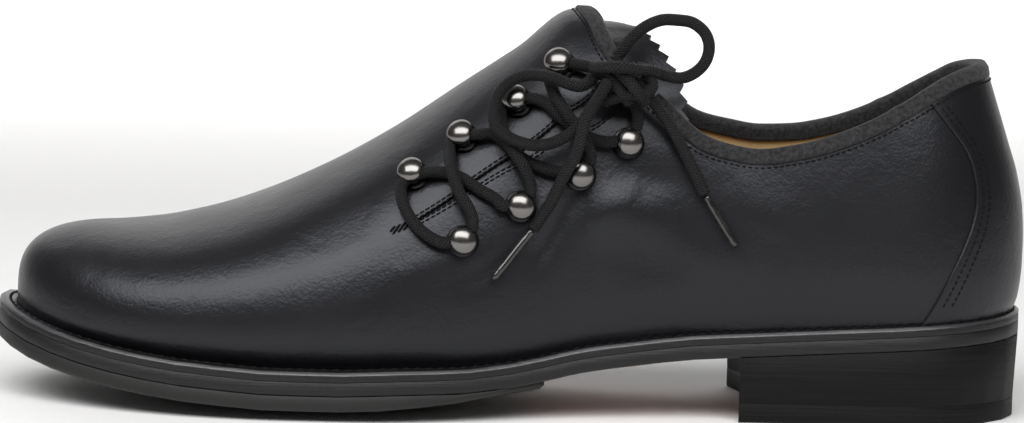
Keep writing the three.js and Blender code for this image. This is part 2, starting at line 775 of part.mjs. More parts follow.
function strip(loops, profile) {
  const corners = [];
  loops.slice(1).forEach((loop, k) => {
    loop.forEach((p, i) => {
      const j = (i + 1) % loop.length;
      corners.push(...quad(loops[k][i], loops[k][j], loop[j], p));
    });
  });
  const cap = (loop, flip) => {
    const contour = profile.map(([x, y]) => new THREE.Vector2(x, y));
    THREE.ShapeUtils.triangulateShape(contour, []).forEach((face) => {
      const order = flip ? face.slice().reverse() : face;
      corners.push(...order.map((i) => loop[i]));
    });
  };
  const turned = THREE.ShapeUtils.isClockWise(profile.map(([x, y]) => ({ x, y })));
  cap(loops[0], !turned);
  cap(loops[loops.length - 1], turned);
  return solidOf(corners);
}
// The groove that takes the upper's edge is the upper's own wall, made thicker. At the ridge, where
// the edge faces the heel, a second copy of it stands that much further back.
const grooveRoom = 2 * clearance;
const grooveLevels = (share, side) => {
  const top = collarLevel(share, side);
  const above = share < collarEnd ? Math.min(1, levelBelowCollar(share, side, -grooveRoom)) : top;
  return [...[2, 1, 0].map((k) => top * (1 - k / highSteps)), above];
};
const grooveOf = (first, last) =>
  shell(
    sheetOf(bothSides(stations.filter((share) => share >= first && share <= last)), grooveLevels),
    grooveRoom,
    upperWall + grooveRoom,
  );
const ridgeGrooveStart = 0.4;
const ridgeGrooveFinish = 0.5;
const ridgeGroove = [1, -1].map((side) =>
  shell(
    sheetOf(
      stations
        .filter((share) => share >= ridgeGrooveStart && share < ridgeGrooveFinish)
        .map((share) => ({ share, side }))
        .sort((a, b) => (b.share - a.share) * side),
      grooveLevels,
    ),
    grooveRoom,
    upperWall + grooveRoom,
  ).translate(-grooveRoom, 0, 0),
);
const grooveFinish = 0.6;
const groove = grooveOf(0, grooveFinish).add(ridgeGroove[0]).add(ridgeGroove[1]);
const tongueRoom = shell(
  tongueGrid,
  clearance - tongueDepth,
  tongueDepth + tongueThickness + clearance,
);
// The cuts can leave a loose sliver, so the largest body is kept.
const largest = (solid) => solid.decompose().sort((a, b) => b.volume() - a.volume())[0];
const bindingStrip = strip(bindingLoops, bindingProfile);
add("collar_binding", largest(bindingStrip.subtract(groove).subtract(tongueRoom)), "suede");

// Lace. A cord is a round tube along a smooth line.
const cordSides = 8;
function cord(points, diameter, steps) {
  const section = new THREE.Shape(
    range(cordSides).map((i) => {
      const turn = (i / cordSides) * 4 * quarterTurn;
      return new THREE.Vector2(Math.cos(turn), Math.sin(turn)).multiplyScalar(diameter / 2);
    }),
  );
  const path = new THREE.CatmullRomCurve3(points, false, "centripetal");
  return solidOfGeometry(
    new THREE.ExtrudeGeometry(section, { extrudePath: path, steps, bevelEnabled: false }),
  );
}
const outside = ({ at, level, lift }) => lifted(at, 1, level, lift);

// The lace's two halves between the studs, from the foremost stud to the knot, by share, level and lift
const lowerStart = [
  { at: 0.604, level: 0.508, lift: 3.2 },
  { at: 0.613, level: 0.5, lift: 2.8 },
  { at: 0.615, level: 0.458, lift: 2.2 },
  { at: 0.609, level: 0.382, lift: 2.2 },
  { at: 0.595, level: 0.301, lift: 2.2 },
  { at: 0.574, level: 0.244, lift: 2.8 },
  { at: 0.56, level: 0.247, lift: 3.2 },
  { at: 0.548, level: 0.254, lift: 3.2 },
  { at: 0.548, level: 0.299, lift: 3 },
  { at: 0.559, level: 0.371, lift: 4.6 },
  { at: 0.565, level: 0.441, lift: 5.2 },
  { at: 0.567, level: 0.512, lift: 3.6 },
  { at: 0.566, level: 0.57, lift: 2.8 },
  { at: 0.555, level: 0.565, lift: 3.2 },
  { at: 0.542, level: 0.543, lift: 3 },
  { at: 0.526, level: 0.517, lift: 2.3 },
  { at: 0.512, level: 0.455, lift: 2.2 },
  { at: 0.499, level: 0.398, lift: 2.2 },
  { at: 0.482, level: 0.343, lift: 2.2 },
  { at: 0.461, level: 0.3, lift: 2.8 },
  { at: 0.446, level: 0.293, lift: 3.2 },
  { at: 0.433, level: 0.314, lift: 3 },
  { at: 0.437, level: 0.359, lift: 4.2 },
  { at: 0.447, level: 0.398, lift: 5.2 },
  { at: 0.456, level: 0.443, lift: 4.6 },
  { at: 0.467, level: 0.524, lift: 3 },
  { at: 0.47, level: 0.597, lift: 2.8 },
  { at: 0.461, level: 0.609, lift: 3.2 },
  { at: 0.449, level: 0.593, lift: 3.2 },
  { at: 0.434, level: 0.575, lift: 4.2 },
];
const upperStart = [
  { at: 0.604, level: 0.508, lift: 3.2 },
  { at: 0.588, level: 0.495, lift: 3 },
  { at: 0.572, level: 0.466, lift: 2.2 },
  { at: 0.557, level: 0.424, lift: 2.2 },
  { at: 0.54, level: 0.363, lift: 2.2 },
  { at: 0.524, level: 0.314, lift: 2.3 },
  { at: 0.518, level: 0.289, lift: 2.8 },
  { at: 0.504, level: 0.28, lift: 3.2 },
  { at: 0.492, level: 0.282, lift: 3 },
  { at: 0.491, level: 0.315, lift: 2.6 },
  { at: 0.498, level: 0.369, lift: 5 },
  { at: 0.508, level: 0.427, lift: 5.2 },
  { at: 0.515, level: 0.488, lift: 4.2 },
  { at: 0.518, level: 0.559, lift: 3 },
  { at: 0.515, level: 0.603, lift: 2.8 },
  { at: 0.501, level: 0.585, lift: 3.2 },
  { at: 0.488, level: 0.557, lift: 3 },
  { at: 0.476, level: 0.514, lift: 2.6 },
  { at: 0.465, level: 0.459, lift: 2.2 },
  { at: 0.449, level: 0.403, lift: 2.2 },
  { at: 0.431, level: 0.37, lift: 2.2 },
  { at: 0.414, level: 0.357, lift: 2.8 },
  { at: 0.399, level: 0.365, lift: 3.2 },
  { at: 0.389, level: 0.393, lift: 3.2 },
  { at: 0.389, level: 0.438, lift: 4.2 },
  { at: 0.397, level: 0.476, lift: 5 },
];
const lowerHalf = lowerStart.map(outside);
const upperHalf = upperStart.map(outside);
const lowerSteps = 46;
const upperSteps = 38;
add(
  "lace_crossings",
  cord(lowerHalf, laceDiameter, lowerSteps).add(cord(upperHalf, laceDiameter, upperSteps)),
  "lace",
);

// Ball studs: a base disc, a waist and a dome, with a way through for the lace
const wayRoom = 0.35;
const laceWay = laceDiameter + 2 * wayRoom;
const laceWays = cord(lowerHalf, laceWay, lowerSteps).add(cord(upperHalf, laceWay, upperSteps));
const studProfile = [
  [0, 0],
  [studBaseDiameter / 2, 0],
  [studBaseDiameter / 2, studHeight * 0.15],
  [studDiameter * 0.36, studHeight * 0.21],
  [studDiameter * 0.48, studHeight * 0.36],
  [studDiameter * 0.5, studHeight * 0.52],
  [studDiameter * 0.44, studHeight * 0.76],
  [studDiameter * 0.26, studHeight * 0.94],
  [0, studHeight],
].map(([r, z]) => new THREE.Vector2(r, z));
const studSides = 10;
const studLift = 0.45;
const studPlaces = [
  { name: "stud_upper_1", at: 0.604, level: 0.529 },
  { name: "stud_upper_2", at: 0.556, level: 0.576 },
  { name: "stud_upper_3", at: 0.503, level: 0.594 },
  { name: "stud_upper_4", at: 0.462, level: 0.62 },
  { name: "stud_lower_1", at: 0.556, level: 0.234 },
  { name: "stud_lower_2", at: 0.5, level: 0.268 },
  { name: "stud_lower_3", at: 0.442, level: 0.282 },
  { name: "stud_lower_4", at: 0.395, level: 0.355 },
];
studPlaces.forEach(({ name, at, level }) => {
  const shape = new THREE.LatheGeometry(studProfile, studSides);
  const axis = normalAt(at, 1, level);
  shape.applyQuaternion(new THREE.Quaternion().setFromUnitVectors(point(0, 1, 0), axis));
  const foot = lifted(at, 1, level, studLift);
  shape.translate(foot.x, foot.y, foot.z);
  add(name, solidOfGeometry(shape).subtract(laceWays), "nickel");
});

// The knot, its two loops and its two ends, each from the knot outward
const frontLoop = [
  point(126.8, 32.4, 98.8),
  point(128.9, 33.6, 96.4),
  point(131.2, 34.4, 95.4),
  point(134.3, 34, 95.9),
  point(139.6, 32.1, 97.6),
  point(146.6, 29.4, 97.6),
  point(151.6, 29.6, 95.1),
  point(154.4, 31.2, 91.5),
  point(155.3, 32.9, 87.8),
  point(154.6, 35.5, 83.5),
  point(151.7, 37.8, 81.3),
  point(148.3, 39, 79.8),
  point(143.5, 39.6, 78.9),
  point(138.8, 39.6, 79.7),
  point(134.1, 39.9, 82.3),
  point(130.2, 38.6, 86),
  point(126.6, 35.9, 91),
  point(124.4, 33.9, 94.4),
];
const rearLoop = [
  point(120.8, 30, 103.5),
  point(119.1, 30, 105.8),
  point(117.0, 30, 108.7),
  point(113.1, 30, 112.2),
  point(108.4, 30, 114.3),
  point(104.1, 30, 114.4),
  point(99.6, 30, 113.7),
  point(96.1, 30, 110.9),
  point(94.8, 30, 107.3),
  point(95.6, 30, 103.0),
  point(98.3, 30, 99.8),
  point(102.2, 30, 98.0),
  point(106.5, 30, 98.5),
  point(110.8, 30, 99.8),
  point(115.3, 30, 100.8),
];
const frontEnd = [
  point(123.4, 37.4, 97.3),
  point(125.1, 38.8, 94.4),
  point(126.8, 40.4, 92),
  point(128.7, 42, 89),
  point(129.8, 43, 86.2),
  point(130.7, 43.4, 82.8),
  point(131.4, 43.2, 79.3),
  point(132.5, 42.4, 75.8),
  point(134.4, 41.4, 72.3),
  point(136.2, 40.2, 68.4),
  point(138.9, 39.6, 62.3),
  point(141.3, 40, 58.6),
  point(143.5, 40.7, 55.2),
];
const rearEnd = [
  point(117.4, 34.2, 97.6),
  point(114.8, 33.6, 96.2),
  point(112.7, 33, 94),
  point(110.3, 32.2, 91.2),
  point(108.2, 31.8, 88.6),
  point(105.3, 31.6, 84.7),
  point(102.3, 31.8, 79.6),
  point(100.2, 32.4, 75.7),
  point(97.5, 33.4, 70.5),
  point(94.9, 34.3, 65.4),
];
const frontAglet = [
  point(143.8, 40.8, 54.8),
  point(147.1, 41.8, 50.7),
  point(151.2, 43.1, 45.4),
  point(154.6, 44.2, 41.2),
];
const rearAglet = [
  point(94.6, 34.4, 64.9),
  point(92.2, 34.8, 61.1),
  point(89, 35.5, 56.1),
  point(85.7, 36.1, 51.1),
];
const looseCords = [
  { name: "lace_loop_front", points: frontLoop, steps: 24 },
  { name: "lace_loop_rear", points: rearLoop, steps: 22 },
  { name: "lace_end_front", points: frontEnd, steps: 18 },
  { name: "lace_end_rear", points: rearEnd, steps: 12 },
];
const tips = [
  { name: "aglet_front", points: frontAglet },
  { name: "aglet_rear", points: rearAglet },
];
const agletSteps = 4;

// The frame's origin is at the middle of the shoe's footprint, without the loose lace
const box = new THREE.Box3().setFromObject(group);
group.position.set(-(box.min.x + box.max.x) / 2, -(box.min.y + box.max.y) / 2, 0);

looseCords.forEach(({ name, points, steps }) => {
  add(name, cord(points, laceDiameter, steps), "lace");
});
tips.forEach(({ name, points }) => {
  add(name, cord(points, agletDiameter, agletSteps), "aglet");
});
const knotPlace = point(121.3, 31.4, 98);
const knotSize = point(9.4, 7.6, 8.8);
const knotSides = 12;
const knotRings = 8;
const knotShape = new THREE.SphereGeometry(0.5, knotSides, knotRings);
knotShape.scale(knotSize.x, knotSize.y, knotSize.z);
knotShape.translate(knotPlace.x, knotPlace.y, knotPlace.z);
const knotRoom = looseCords.reduce(
  (all, { points, steps }) => all.add(cord(points, laceWay, steps)),
  laceWays,
);
add("lace_knot", solidOfGeometry(knotShape).subtract(knotRoom), "lace");

export default group;
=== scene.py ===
import math

import bmesh
import bpy
from mathutils import Matrix, Vector


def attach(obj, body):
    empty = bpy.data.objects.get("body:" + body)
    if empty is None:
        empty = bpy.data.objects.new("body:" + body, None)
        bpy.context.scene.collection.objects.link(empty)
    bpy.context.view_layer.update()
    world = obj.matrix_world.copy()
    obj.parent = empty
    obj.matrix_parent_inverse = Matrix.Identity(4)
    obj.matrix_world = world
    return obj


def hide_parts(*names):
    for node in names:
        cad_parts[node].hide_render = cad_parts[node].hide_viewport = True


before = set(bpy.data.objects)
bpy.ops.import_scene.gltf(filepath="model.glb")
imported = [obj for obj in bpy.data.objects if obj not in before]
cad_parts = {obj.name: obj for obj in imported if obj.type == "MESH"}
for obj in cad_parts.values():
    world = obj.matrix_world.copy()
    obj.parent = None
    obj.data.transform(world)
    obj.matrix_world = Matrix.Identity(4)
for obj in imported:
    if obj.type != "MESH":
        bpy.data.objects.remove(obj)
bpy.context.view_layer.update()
print("frame loaded:", len(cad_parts), "nodes")

# The shoe is drawn from the back of its heel, as in the CAD source. This is where that point is here.
shoeOrigin = Vector((-0.1487, 0.002527, 0))

# Camera, at the photograph's angle
view = {
    "target": Vector((0.1485, 0, 0.0548)),
    "yaw": 1.5,
    "pitch": 7.5,
    "roll": 1.55,
    "distance": 1.5,
    "focalPixels": 5180,
    "imageWidth": 1024,
    "sensor": 36,
}


def addCamera():
    yaw = math.radians(view["yaw"])
    pitch = math.radians(view["pitch"])
    roll = math.radians(view["roll"])
    ahead = Vector((-math.sin(yaw) * math.cos(pitch), -math.cos(yaw) * math.cos(pitch), -math.sin(pitch)))
    level = ahead.cross(Vector((0, 0, 1))).normalized()
    upright = level.cross(ahead)
    right = level * math.cos(roll) + upright * math.sin(roll)
    top = upright * math.cos(roll) - level * math.sin(roll)
    data = bpy.data.cameras.new("photoCamera")
    data.sensor_width = view["sensor"]
    data.lens = view["focalPixels"] / view["imageWidth"] * view["sensor"]
    data.clip_start = 0.05
    data.clip_end = 20
    camera = bpy.data.objects.new("photoCamera", data)
    bpy.context.scene.collection.objects.link(camera)
    turned = Matrix((right, top, -ahead)).transposed().to_4x4()
    turned.translation = view["target"] + shoeOrigin - ahead * view["distance"]
    camera.matrix_world = turned
    bpy.context.scene.camera = camera


addCamera()
print("camera placed")


# Small helpers for meshes
def selectOnly(obj):
    bpy.ops.object.select_all(action="DESELECT")
    obj.select_set(True)
    bpy.context.view_layer.objects.active = obj


def applyAll(obj):
    selectOnly(obj)
    for modifier in list(obj.modifiers):
        bpy.ops.object.modifier_apply(modifier=modifier.name)


def newPiece(name, points, faces):
    mesh = bpy.data.meshes.new(name)
    mesh.from_pydata([tuple(p) for p in points], [], faces)
    mesh.update()
    obj = bpy.data.objects.new(name, mesh)
    bpy.context.scene.collection.objects.link(obj)
    return obj


def weld(obj, distance=0.00001, outward=False):
    selectOnly(obj)
    bpy.ops.object.mode_set(mode="EDIT")
    bpy.ops.mesh.select_all(action="SELECT")
    bpy.ops.mesh.remove_doubles(threshold=distance)
    bpy.ops.mesh.dissolve_degenerate(threshold=distance)
    if outward:
        bpy.ops.mesh.normals_make_consistent(inside=False)
    bpy.ops.object.mode_set(mode="OBJECT")


def smooth(obj, angle=40):
    selectOnly(obj)
    bpy.ops.object.shade_smooth_by_angle(angle=math.radians(angle))


def gridFaces(columns, rows, start=0):
    faces = []
    for i in range(columns - 1):
        for j in range(rows - 1):
            a = start + i * rows + j
            faces.append((a, a + rows, a + rows + 1, a + 1))
    return faces


def gridPiece(name, grids):
    points = []
    faces = []
    for grid in grids:
        faces += gridFaces(len(grid), len(grid[0]), len(points))
        points += [toRow(p) for column in grid for p in column]
    return newPiece(name, points, faces)


def toRow(p):
    return p + shoeOrigin


def finishPiece(obj, material, nodes=()):
    obj.data.materials.clear()
    obj.data.materials.append(material)
    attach(obj, "root")
    if nodes:
        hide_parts(*nodes)


# Another material on the faces whose slope is between two values of the normal's height. On the welt it is a
# painted highlight on its upward-sloping bevel; on the outsole it is the tanned underside.
def paintFacing(obj, material, low, high):
    obj.data.materials.append(material)
    for polygon in obj.data.polygons:
        if low < polygon.normal.z < high:
            polygon.material_index = len(obj.data.materials) - 1


# Numbers along a table, with no overshoot between its rows
def along(rows, column):
    at = [row[0] for row in rows]
    value = [row[column] for row in rows]
    rise = [(value[i + 1] - value[i]) / (at[i + 1] - at[i]) for i in range(len(at) - 1)]
    slope = []
    for i in range(len(at)):
        before = rise[max(i - 1, 0)]
        after = rise[min(i, len(rise) - 1)]
        slope.append(0 if before * after <= 0 else 2 * before * after / (before + after))

    def valueAt(place):
        x = min(max(place, at[0]), at[-1])
        i = 0
        while i < len(at) - 2 and x > at[i + 1]:
            i += 1
        span = at[i + 1] - at[i]
        t = (x - at[i]) / span
        turn = t * t * (3 - 2 * t)
        bend = slope[i] * (1 - t) - slope[i + 1] * t
        return value[i] * (1 - turn) + value[i + 1] * turn + span * t * (1 - t) * bend

    return valueAt


def mix(a, b, t):
    return a + (b - a) * t


def clamp01(t):
    return min(max(t, 0), 1)


def smoothStep(t):
    t = clamp01(t)
    return t * t * (3 - 2 * t)


def roundEnd(t, power):
    return (1 - clamp01(t) ** power) ** (1 / power)


# The last and the sole, with the CAD source's dimensions in metres
last = {
    "length": 0.288,
    "ballWidth": 0.092,
    "heelWidth": 0.062,
    "toeBoxHeight": 0.0484,
    "instepHeight": 0.114,
    "heelRidge": 0.128,
    "heelLean": 0.0126,
    "heelInset": 0.001,
    "heelRoundness": 2.2,
    "toeRoundness": 2.3,
    "ridgeRoundness": 3.2,
    "heelBlend": 0.14,
    "toeOffset": 0.005,
    "sideBulge": 0.0044,
    "heelBack": 0.0032,
    "heelStart": 0.13,
    "toeStart": 0.76,
    "ridgeEnd": 0.89,
    "collarEnd": 0.436,
    "backHeight": 0.101,
    "collarDip": 0.076,
    "innerRise": 0.002,
    "collarFront": 0.1145,
    "wall": 0.0022,
    "leather": 0.001,
}
sole = {
    "halfSole": 0.0041,
    "outsole": 0.004,
    "welt": 0.0026,
    "clearance": 0.0003,
    "heelSeat": 0.0239,
    "breast": 0.019,
    "toeSpring": 0.016,
    "crown": 0.0031,
    "heelLength": 0.079,
    "halfSoleLength": 0.153,
    "skivedEdge": 0.001,
    "skiveEnd": 0.3,
    "toeExtension": 0.005,
    "ballExtension": 0.0072,
    "waistExtension": 0.004,
    "heelExtension": 0.003,
}
# Share of the length, width of the outer and of the inner side
sideLines = [
    (0, 0.97, 0.97),
    (0.13, 1.01, 1),
    (0.25, 0.94, 0.88),
    (0.35, 0.83, 0.7),
    (0.45, 0.81, 0.66),
    (0.55, 0.87, 0.8),
    (0.65, 0.93, 0.975),
    (0.73, 0.925, 1.04),
    (0.82, 0.885, 1.03),
    (0.91, 0.83, 0.98),
    (1, 0.77, 0.92),
]
# Share of the length, bulge, height of the widest line over the welt, power, shift
sections = [
    (0, 0.6, 0.0162, 1.7, 0),
    (0.13, 0.6, 0.0165, 1.7, 0),
    (0.3, 0.8, 0.017, 1.9, 0),
    (0.44, 1, 0.0143, 2.1, -0.02),
    (0.6, 1, 0.0105, 2.1, -0.05),
    (0.75, 0.9, 0.0088, 2.2, -0.07),
    (0.9, 0.6, 0.0054, 2.3, -0.065),
    (1, 0, 0.0022, 2.3, -0.055),
]
# Share of the length, rise of the ridge from the toe box to the instep
ridgeLine = [
    (0.22, 0.932),
    (0.35, 0.981),
    (0.4, 1),
    (0.447, 1),
    (0.504, 0.82),
    (0.56, 0.65),
    (0.625, 0.449),
    (0.691, 0.279),
    (0.757, 0.145),
    (0.81, 0.067),
    (0.86, 0.021),
    (0.906, 0.004),
    (1, 0),
]
# Share of the length, rise to the back on the outer and the inner side, rise to the front
collarLine = [
    (0, 1, 1, 0),
    (0.03, 0.995, 0.975, 0),
    (0.06, 0.965, 0.909, 0),
    (0.085, 0.89, 0.761, 0),
    (0.106, 0.76, 0.591, 0),
    (0.138, 0.484, 0.296, 0),
    (0.19, 0.216, 0.074, 0),
    (0.22, 0.112, 0.013, 0),
    (0.252, 0.044, 0, 0),
    (0.285, 0, 0, 0.04),
    (0.315, 0, 0, 0.1),
    (0.365, 0, 0, 0.4),
    (0.401, 0, 0, 0.64),
    (0.413, 0, 0, 0.76),
    (0.425, 0, 0, 0.93),
    (0.436, 0, 0, 1),
]
# Share of the back's height, how far the back leans in
backLine = [
    (0, 0.227),
    (0.28, 0.218),
    (0.35, 0.07),
    (0.43, 0.009),
    (0.5, 0.004),
    (0.59, 0.045),
    (0.69, 0.194),
    (0.79, 0.45),
    (0.89, 0.71),
    (1, 1),
]
# Share of the half sole, lift of the tread's middle, crown
treadLine = [
    (0, 0.42, 0.85),
    (0.064, 0.3, 0.9),
    (0.136, 0.17, 0.95),
    (0.208, 0.09, 1),
    (0.28, 0.03, 1),
    (0.33, 0, 1),
    (0.47, 0, 1),
    (0.567, 0.05, 1),
    (0.64, 0.1, 0.96),
    (0.717, 0.19, 0.88),
    (0.776, 0.285, 0.78),
    (0.835, 0.41, 0.65),
    (0.894, 0.57, 0.48),
    (0.94, 0.73, 0.3),
    (0.979, 0.9, 0.12),
    (1, 1, 0),
]
# Share of the waist from the breast to the half sole, drop of the outsole's underside
waistLine = [(0, 0), (0.25, 0.12), (0.5, 0.33), (0.75, 0.59), (1, 1)]

sideShare = {1: along(sideLines, 1), -1: along(sideLines, 2)}
bulgeShare = along(sections, 1)
lowHeight = along(sections, 2)
sectionPower = along(sections, 3)
ridgeShift = along(sections, 4)
ridgeRise = along(ridgeLine, 1)
collarBack = {1: along(collarLine, 1), -1: along(collarLine, 2)}
collarRise = along(collarLine, 3)
backLean = along(backLine, 1)
treadLift = along(treadLine, 1)
treadCrown = along(treadLine, 2)
waistDrop = along(waistLine, 1)

toeTip = last["heelBack"] + last["length"] + sole["toeExtension"]
halfSoleStart = toeTip - sole["halfSoleLength"]
breastX = last["heelBack"] - sole["heelExtension"] + sole["heelLength"]


def xAt(share):
    return last["heelBack"] + share * last["length"]


def edgeHeight(x):
    place = (x - halfSoleStart) / sole["halfSoleLength"]
    fade = smoothStep((x - breastX) / (halfSoleStart - breastX))
    return sole["toeSpring"] * treadLift(place) + sole["crown"] * treadCrown(place) * fade


def outsoleBottom(x):
    if x <= breastX:
        return mix(sole["heelSeat"], sole["breast"], clamp01(x / breastX))
    if x < halfSoleStart:
        frontEnd = edgeHeight(halfSoleStart) + sole["skivedEdge"] + sole["clearance"]
        return mix(sole["breast"], frontEnd, waistDrop((x - breastX) / (halfSoleStart - breastX)))
    thick = smoothStep((x - halfSoleStart) / sole["halfSoleLength"] / sole["skiveEnd"])
    return edgeHeight(x) + mix(sole["skivedEdge"], sole["halfSole"], thick) + sole["clearance"]


def outsoleTop(x):
    return outsoleBottom(x) + sole["outsole"]


def weltTop(x):
    return outsoleTop(x) + sole["clearance"] + sole["welt"]


def featherY(share, side):
    mean = mix(last["heelWidth"], last["ballWidth"], smoothStep((share - 0.15) / 0.47)) / 2
    straight = side * mean * sideShare[side](share)
    toeShare = (share - last["toeStart"]) / (1 - last["toeStart"])
    return mix(-last["toeOffset"], straight, roundEnd(toeShare, last["toeRoundness"]))


def sectionAt(share, side):
    x = xAt(share)
    foot = featherY(max(share, last["heelStart"]), side)
    low = weltTop(x) + lowHeight(share)
    rise = (last["instepHeight"] - last["toeBoxHeight"]) * ridgeRise(share)
    forward = smoothStep((share - last["heelStart"]) / last["heelBlend"])
    rear = mix(last["heelRidge"], last["toeBoxHeight"] + rise, forward)
    endShare = (share - last["ridgeEnd"]) / (1 - last["ridgeEnd"])
    closing = roundEnd(endShare, last["ridgeRoundness"])
    return {
        "x": x,
        "middle": ridgeShift(share) * last["ballWidth"],
        "foot": foot,
        "wide": foot + side * bulgeShare(share) * last["sideBulge"],
        "low": low,
        "ridge": mix(low, rear, closing),
        "power": sectionPower(share),
    }


heelCentre = xAt(last["heelStart"])
quarterTurn = math.pi / 2


# A place on the last: side 1 is the outer one. Level -2 is on the outsole, -1 at the welt's top,
# 0 on the widest line and 1 on the ridge.
def skin(share, side, level):
    share = abs(share)
    rounded = share < last["heelStart"]
    at = sectionAt(last["heelStart"] if rounded else share, side)
    turn = share / last["heelStart"] * quarterTurn
    seatX = heelCentre * (1 - math.cos(turn)) + last["heelBack"] if rounded else at["x"]
    bottom = outsoleTop(seatX) + sole["clearance"]
    ledge = weltTop(seatX)
    y = at["foot"]
    z = mix(ledge, bottom, -1 - level)
    if level > 0:
        angle = min(level, 1) * quarterTurn
        z = mix(at["low"], at["ridge"], math.sin(angle) ** (2 / at["power"]))
        y = mix(at["middle"], at["wide"], abs(math.cos(angle)) ** (2 / at["power"]))
    elif level > -1:
        z = mix(at["low"], ledge, -level)
        y = mix(at["wide"], at["foot"], level * level)
    if not rounded:
        return Vector((at["x"], y, z))
    backX = last["heelInset"] + last["heelLean"] * backLean(z / last["backHeight"])
    depth = heelCentre - backX
    roundness = 2 / last["heelRoundness"]
    return Vector((
        heelCentre - depth * max(math.cos(turn), 0) ** roundness,
        y * math.sin(turn) ** roundness,
        z,
    ))


def levelAtHeight(share, side, z):
    at = sectionAt(max(share, last["heelStart"]), side)
    ledge = skin(share, side, -1).z
    if z < at["low"]:
        return -(at["low"] - z) / (at["low"] - ledge)
    part = clamp01((z - at["low"]) / (at["ridge"] - at["low"]))
    return math.asin(part ** (at["power"] / 2)) / quarterTurn


def collarLevel(share, side):
    if share >= last["collarEnd"]:
        return 1
    rear = last["collarDip"] + (last["innerRise"] if side < 0 else 0)
    rise = (last["backHeight"] - rear) * collarBack[side](share)
    rise += (last["collarFront"] - rear) * collarRise(share)
    return levelAtHeight(share, side, rear + rise)


def normalAt(share, side, level):
    step = 0.002
    low = min(level, 1 - step)
    if share < step:
        if share == 0:
            return Vector((-1, 0, 0))
        share = step
    ahead = skin(share + step, side, low) - skin(share - step, side, low)
    above = skin(share, side, low + step) - skin(share, side, low - step)
    return (above.cross(ahead) * side).normalized()


def lifted(share, side, level, lift):
    return skin(share, side, level) + normalAt(share, side, level) * lift


def levelBelowCollar(share, side, fall):
    top = collarLevel(share, side)
    step = 0.05
    length = (skin(share, side, top) - skin(share, side, top - step)).length
    return top - fall * step / length


# The slit on the outer side: share, level of its upper edge, level of its lower edge
slitLine = [
    (0.355, 0.8, 0.545),
    (0.372, 0.72, 0.522),
    (0.39, 0.655, 0.487),
    (0.409, 0.59, 0.452),
    (0.43, 0.505, 0.411),
    (0.447, 0.466, 0.4),
    (0.48, 0.434, 0.393),
    (0.513, 0.427, 0.398),
    (0.545, 0.409, 0.386),
    (0.567, 0.386, 0.37),
    (0.603, 0.358, 0.35),
]
slitUpper = along(slitLine, 1)
slitLower = along(slitLine, 2)
slitFront = slitLine[-1][0]
slitClosed = 0.354


def crossing(first, second, low, high):
    for _ in range(40):
        middle = (low + high) / 2
        if (first(middle) - second(middle)) * (first(low) - second(low)) > 0:
            low = middle
        else:
            high = middle
    return (low + high) / 2


quarterCorner = crossing(slitLower, lambda s: collarLevel(s, 1), 0.355, 0.4)
flapCorner = crossing(slitUpper, lambda s: collarLevel(s, 1), 0.39, 0.43)


def spaced(low, high, count):
    return [mix(low, high, i / count) for i in range(count)]


heelShares = spaced(0, last["heelStart"], 28)
toeShares = [mix(0.86, 1, math.sin(i / 26 * quarterTurn)) for i in range(27)]
bodyShares = (
    spaced(last["heelStart"], quarterCorner, 40)
    + spaced(quarterCorner, flapCorner, 16)
    + spaced(flapCorner, last["collarEnd"], 14)
    + spaced(last["collarEnd"], slitFront, 36)
    + [slitFront, slitFront + 0.0016]
    + spaced(slitFront + 0.006, 0.86, 44)
)
allShares = heelShares + bodyShares + toeShares

# Creases of the worn-in leather on the outer side: points of each line in X and Z, depth, half width.
# A negative depth is a soft ridge.
creases = [
    {
        "line": [(0.1305, 0.068), (0.1345, 0.0605), (0.138, 0.053), (0.1425, 0.0445)],
        "depth": 0.0013,
        "width": 0.0028,
    },
    {"line": [(0.1365, 0.068), (0.1405, 0.06), (0.1445, 0.052)], "depth": -0.0009, "width": 0.003},
    {"line": [(0.147, 0.05), (0.1555, 0.0435), (0.166, 0.0385)], "depth": 0.0006, "width": 0.0036},
    {"line": [(0.118, 0.0655), (0.1225, 0.061), (0.1275, 0.054)], "depth": -0.0007, "width": 0.0045},
    {"line": [(0.116, 0.066), (0.106, 0.0615), (0.093, 0.0585)], "depth": 0.0006, "width": 0.0075},
    {"line": [(0.103, 0.05), (0.092, 0.047), (0.08, 0.047)], "depth": -0.0004, "width": 0.006},
    {"line": [(0.121, 0.05), (0.108, 0.0455), (0.094, 0.0455)], "depth": 0.0004, "width": 0.006},
    {"line": [(0.089, 0.068), (0.08, 0.061), (0.07, 0.0565)], "depth": -0.0006, "width": 0.007},
    {"line": [(0.129, 0.0575), (0.114, 0.0605), (0.1, 0.061)], "depth": -0.0014, "width": 0.0085},
    {"line": [(0.122, 0.0725), (0.11, 0.069), (0.096, 0.068)], "depth": 0.0007, "width": 0.005},
    {"line": [(0.187, 0.059), (0.198, 0.052), (0.21, 0.047)], "depth": 0.0004, "width": 0.0045},
    {"line": [(0.158, 0.052), (0.17, 0.0455), (0.184, 0.041)], "depth": -0.0004, "width": 0.004},
]
# Fine ripples across the side of the toe
ripples = {
    "first": 0.2545,
    "pitch": 0.0031,
    "count": 6,
    "top": 0.047,
    "foot": 0.034,
    "lean": 0.0022,
    "depth": 0.00016,
    "widthShare": 0.36,
}
for k in range(ripples["count"]):
    x = ripples["first"] + k * ripples["pitch"]
    line = [(x + ripples["lean"], ripples["top"]), (x, ripples["foot"])]
    width = ripples["pitch"] * ripples["widthShare"]
    creases.append({"line": line, "depth": ripples["depth"], "width": width})


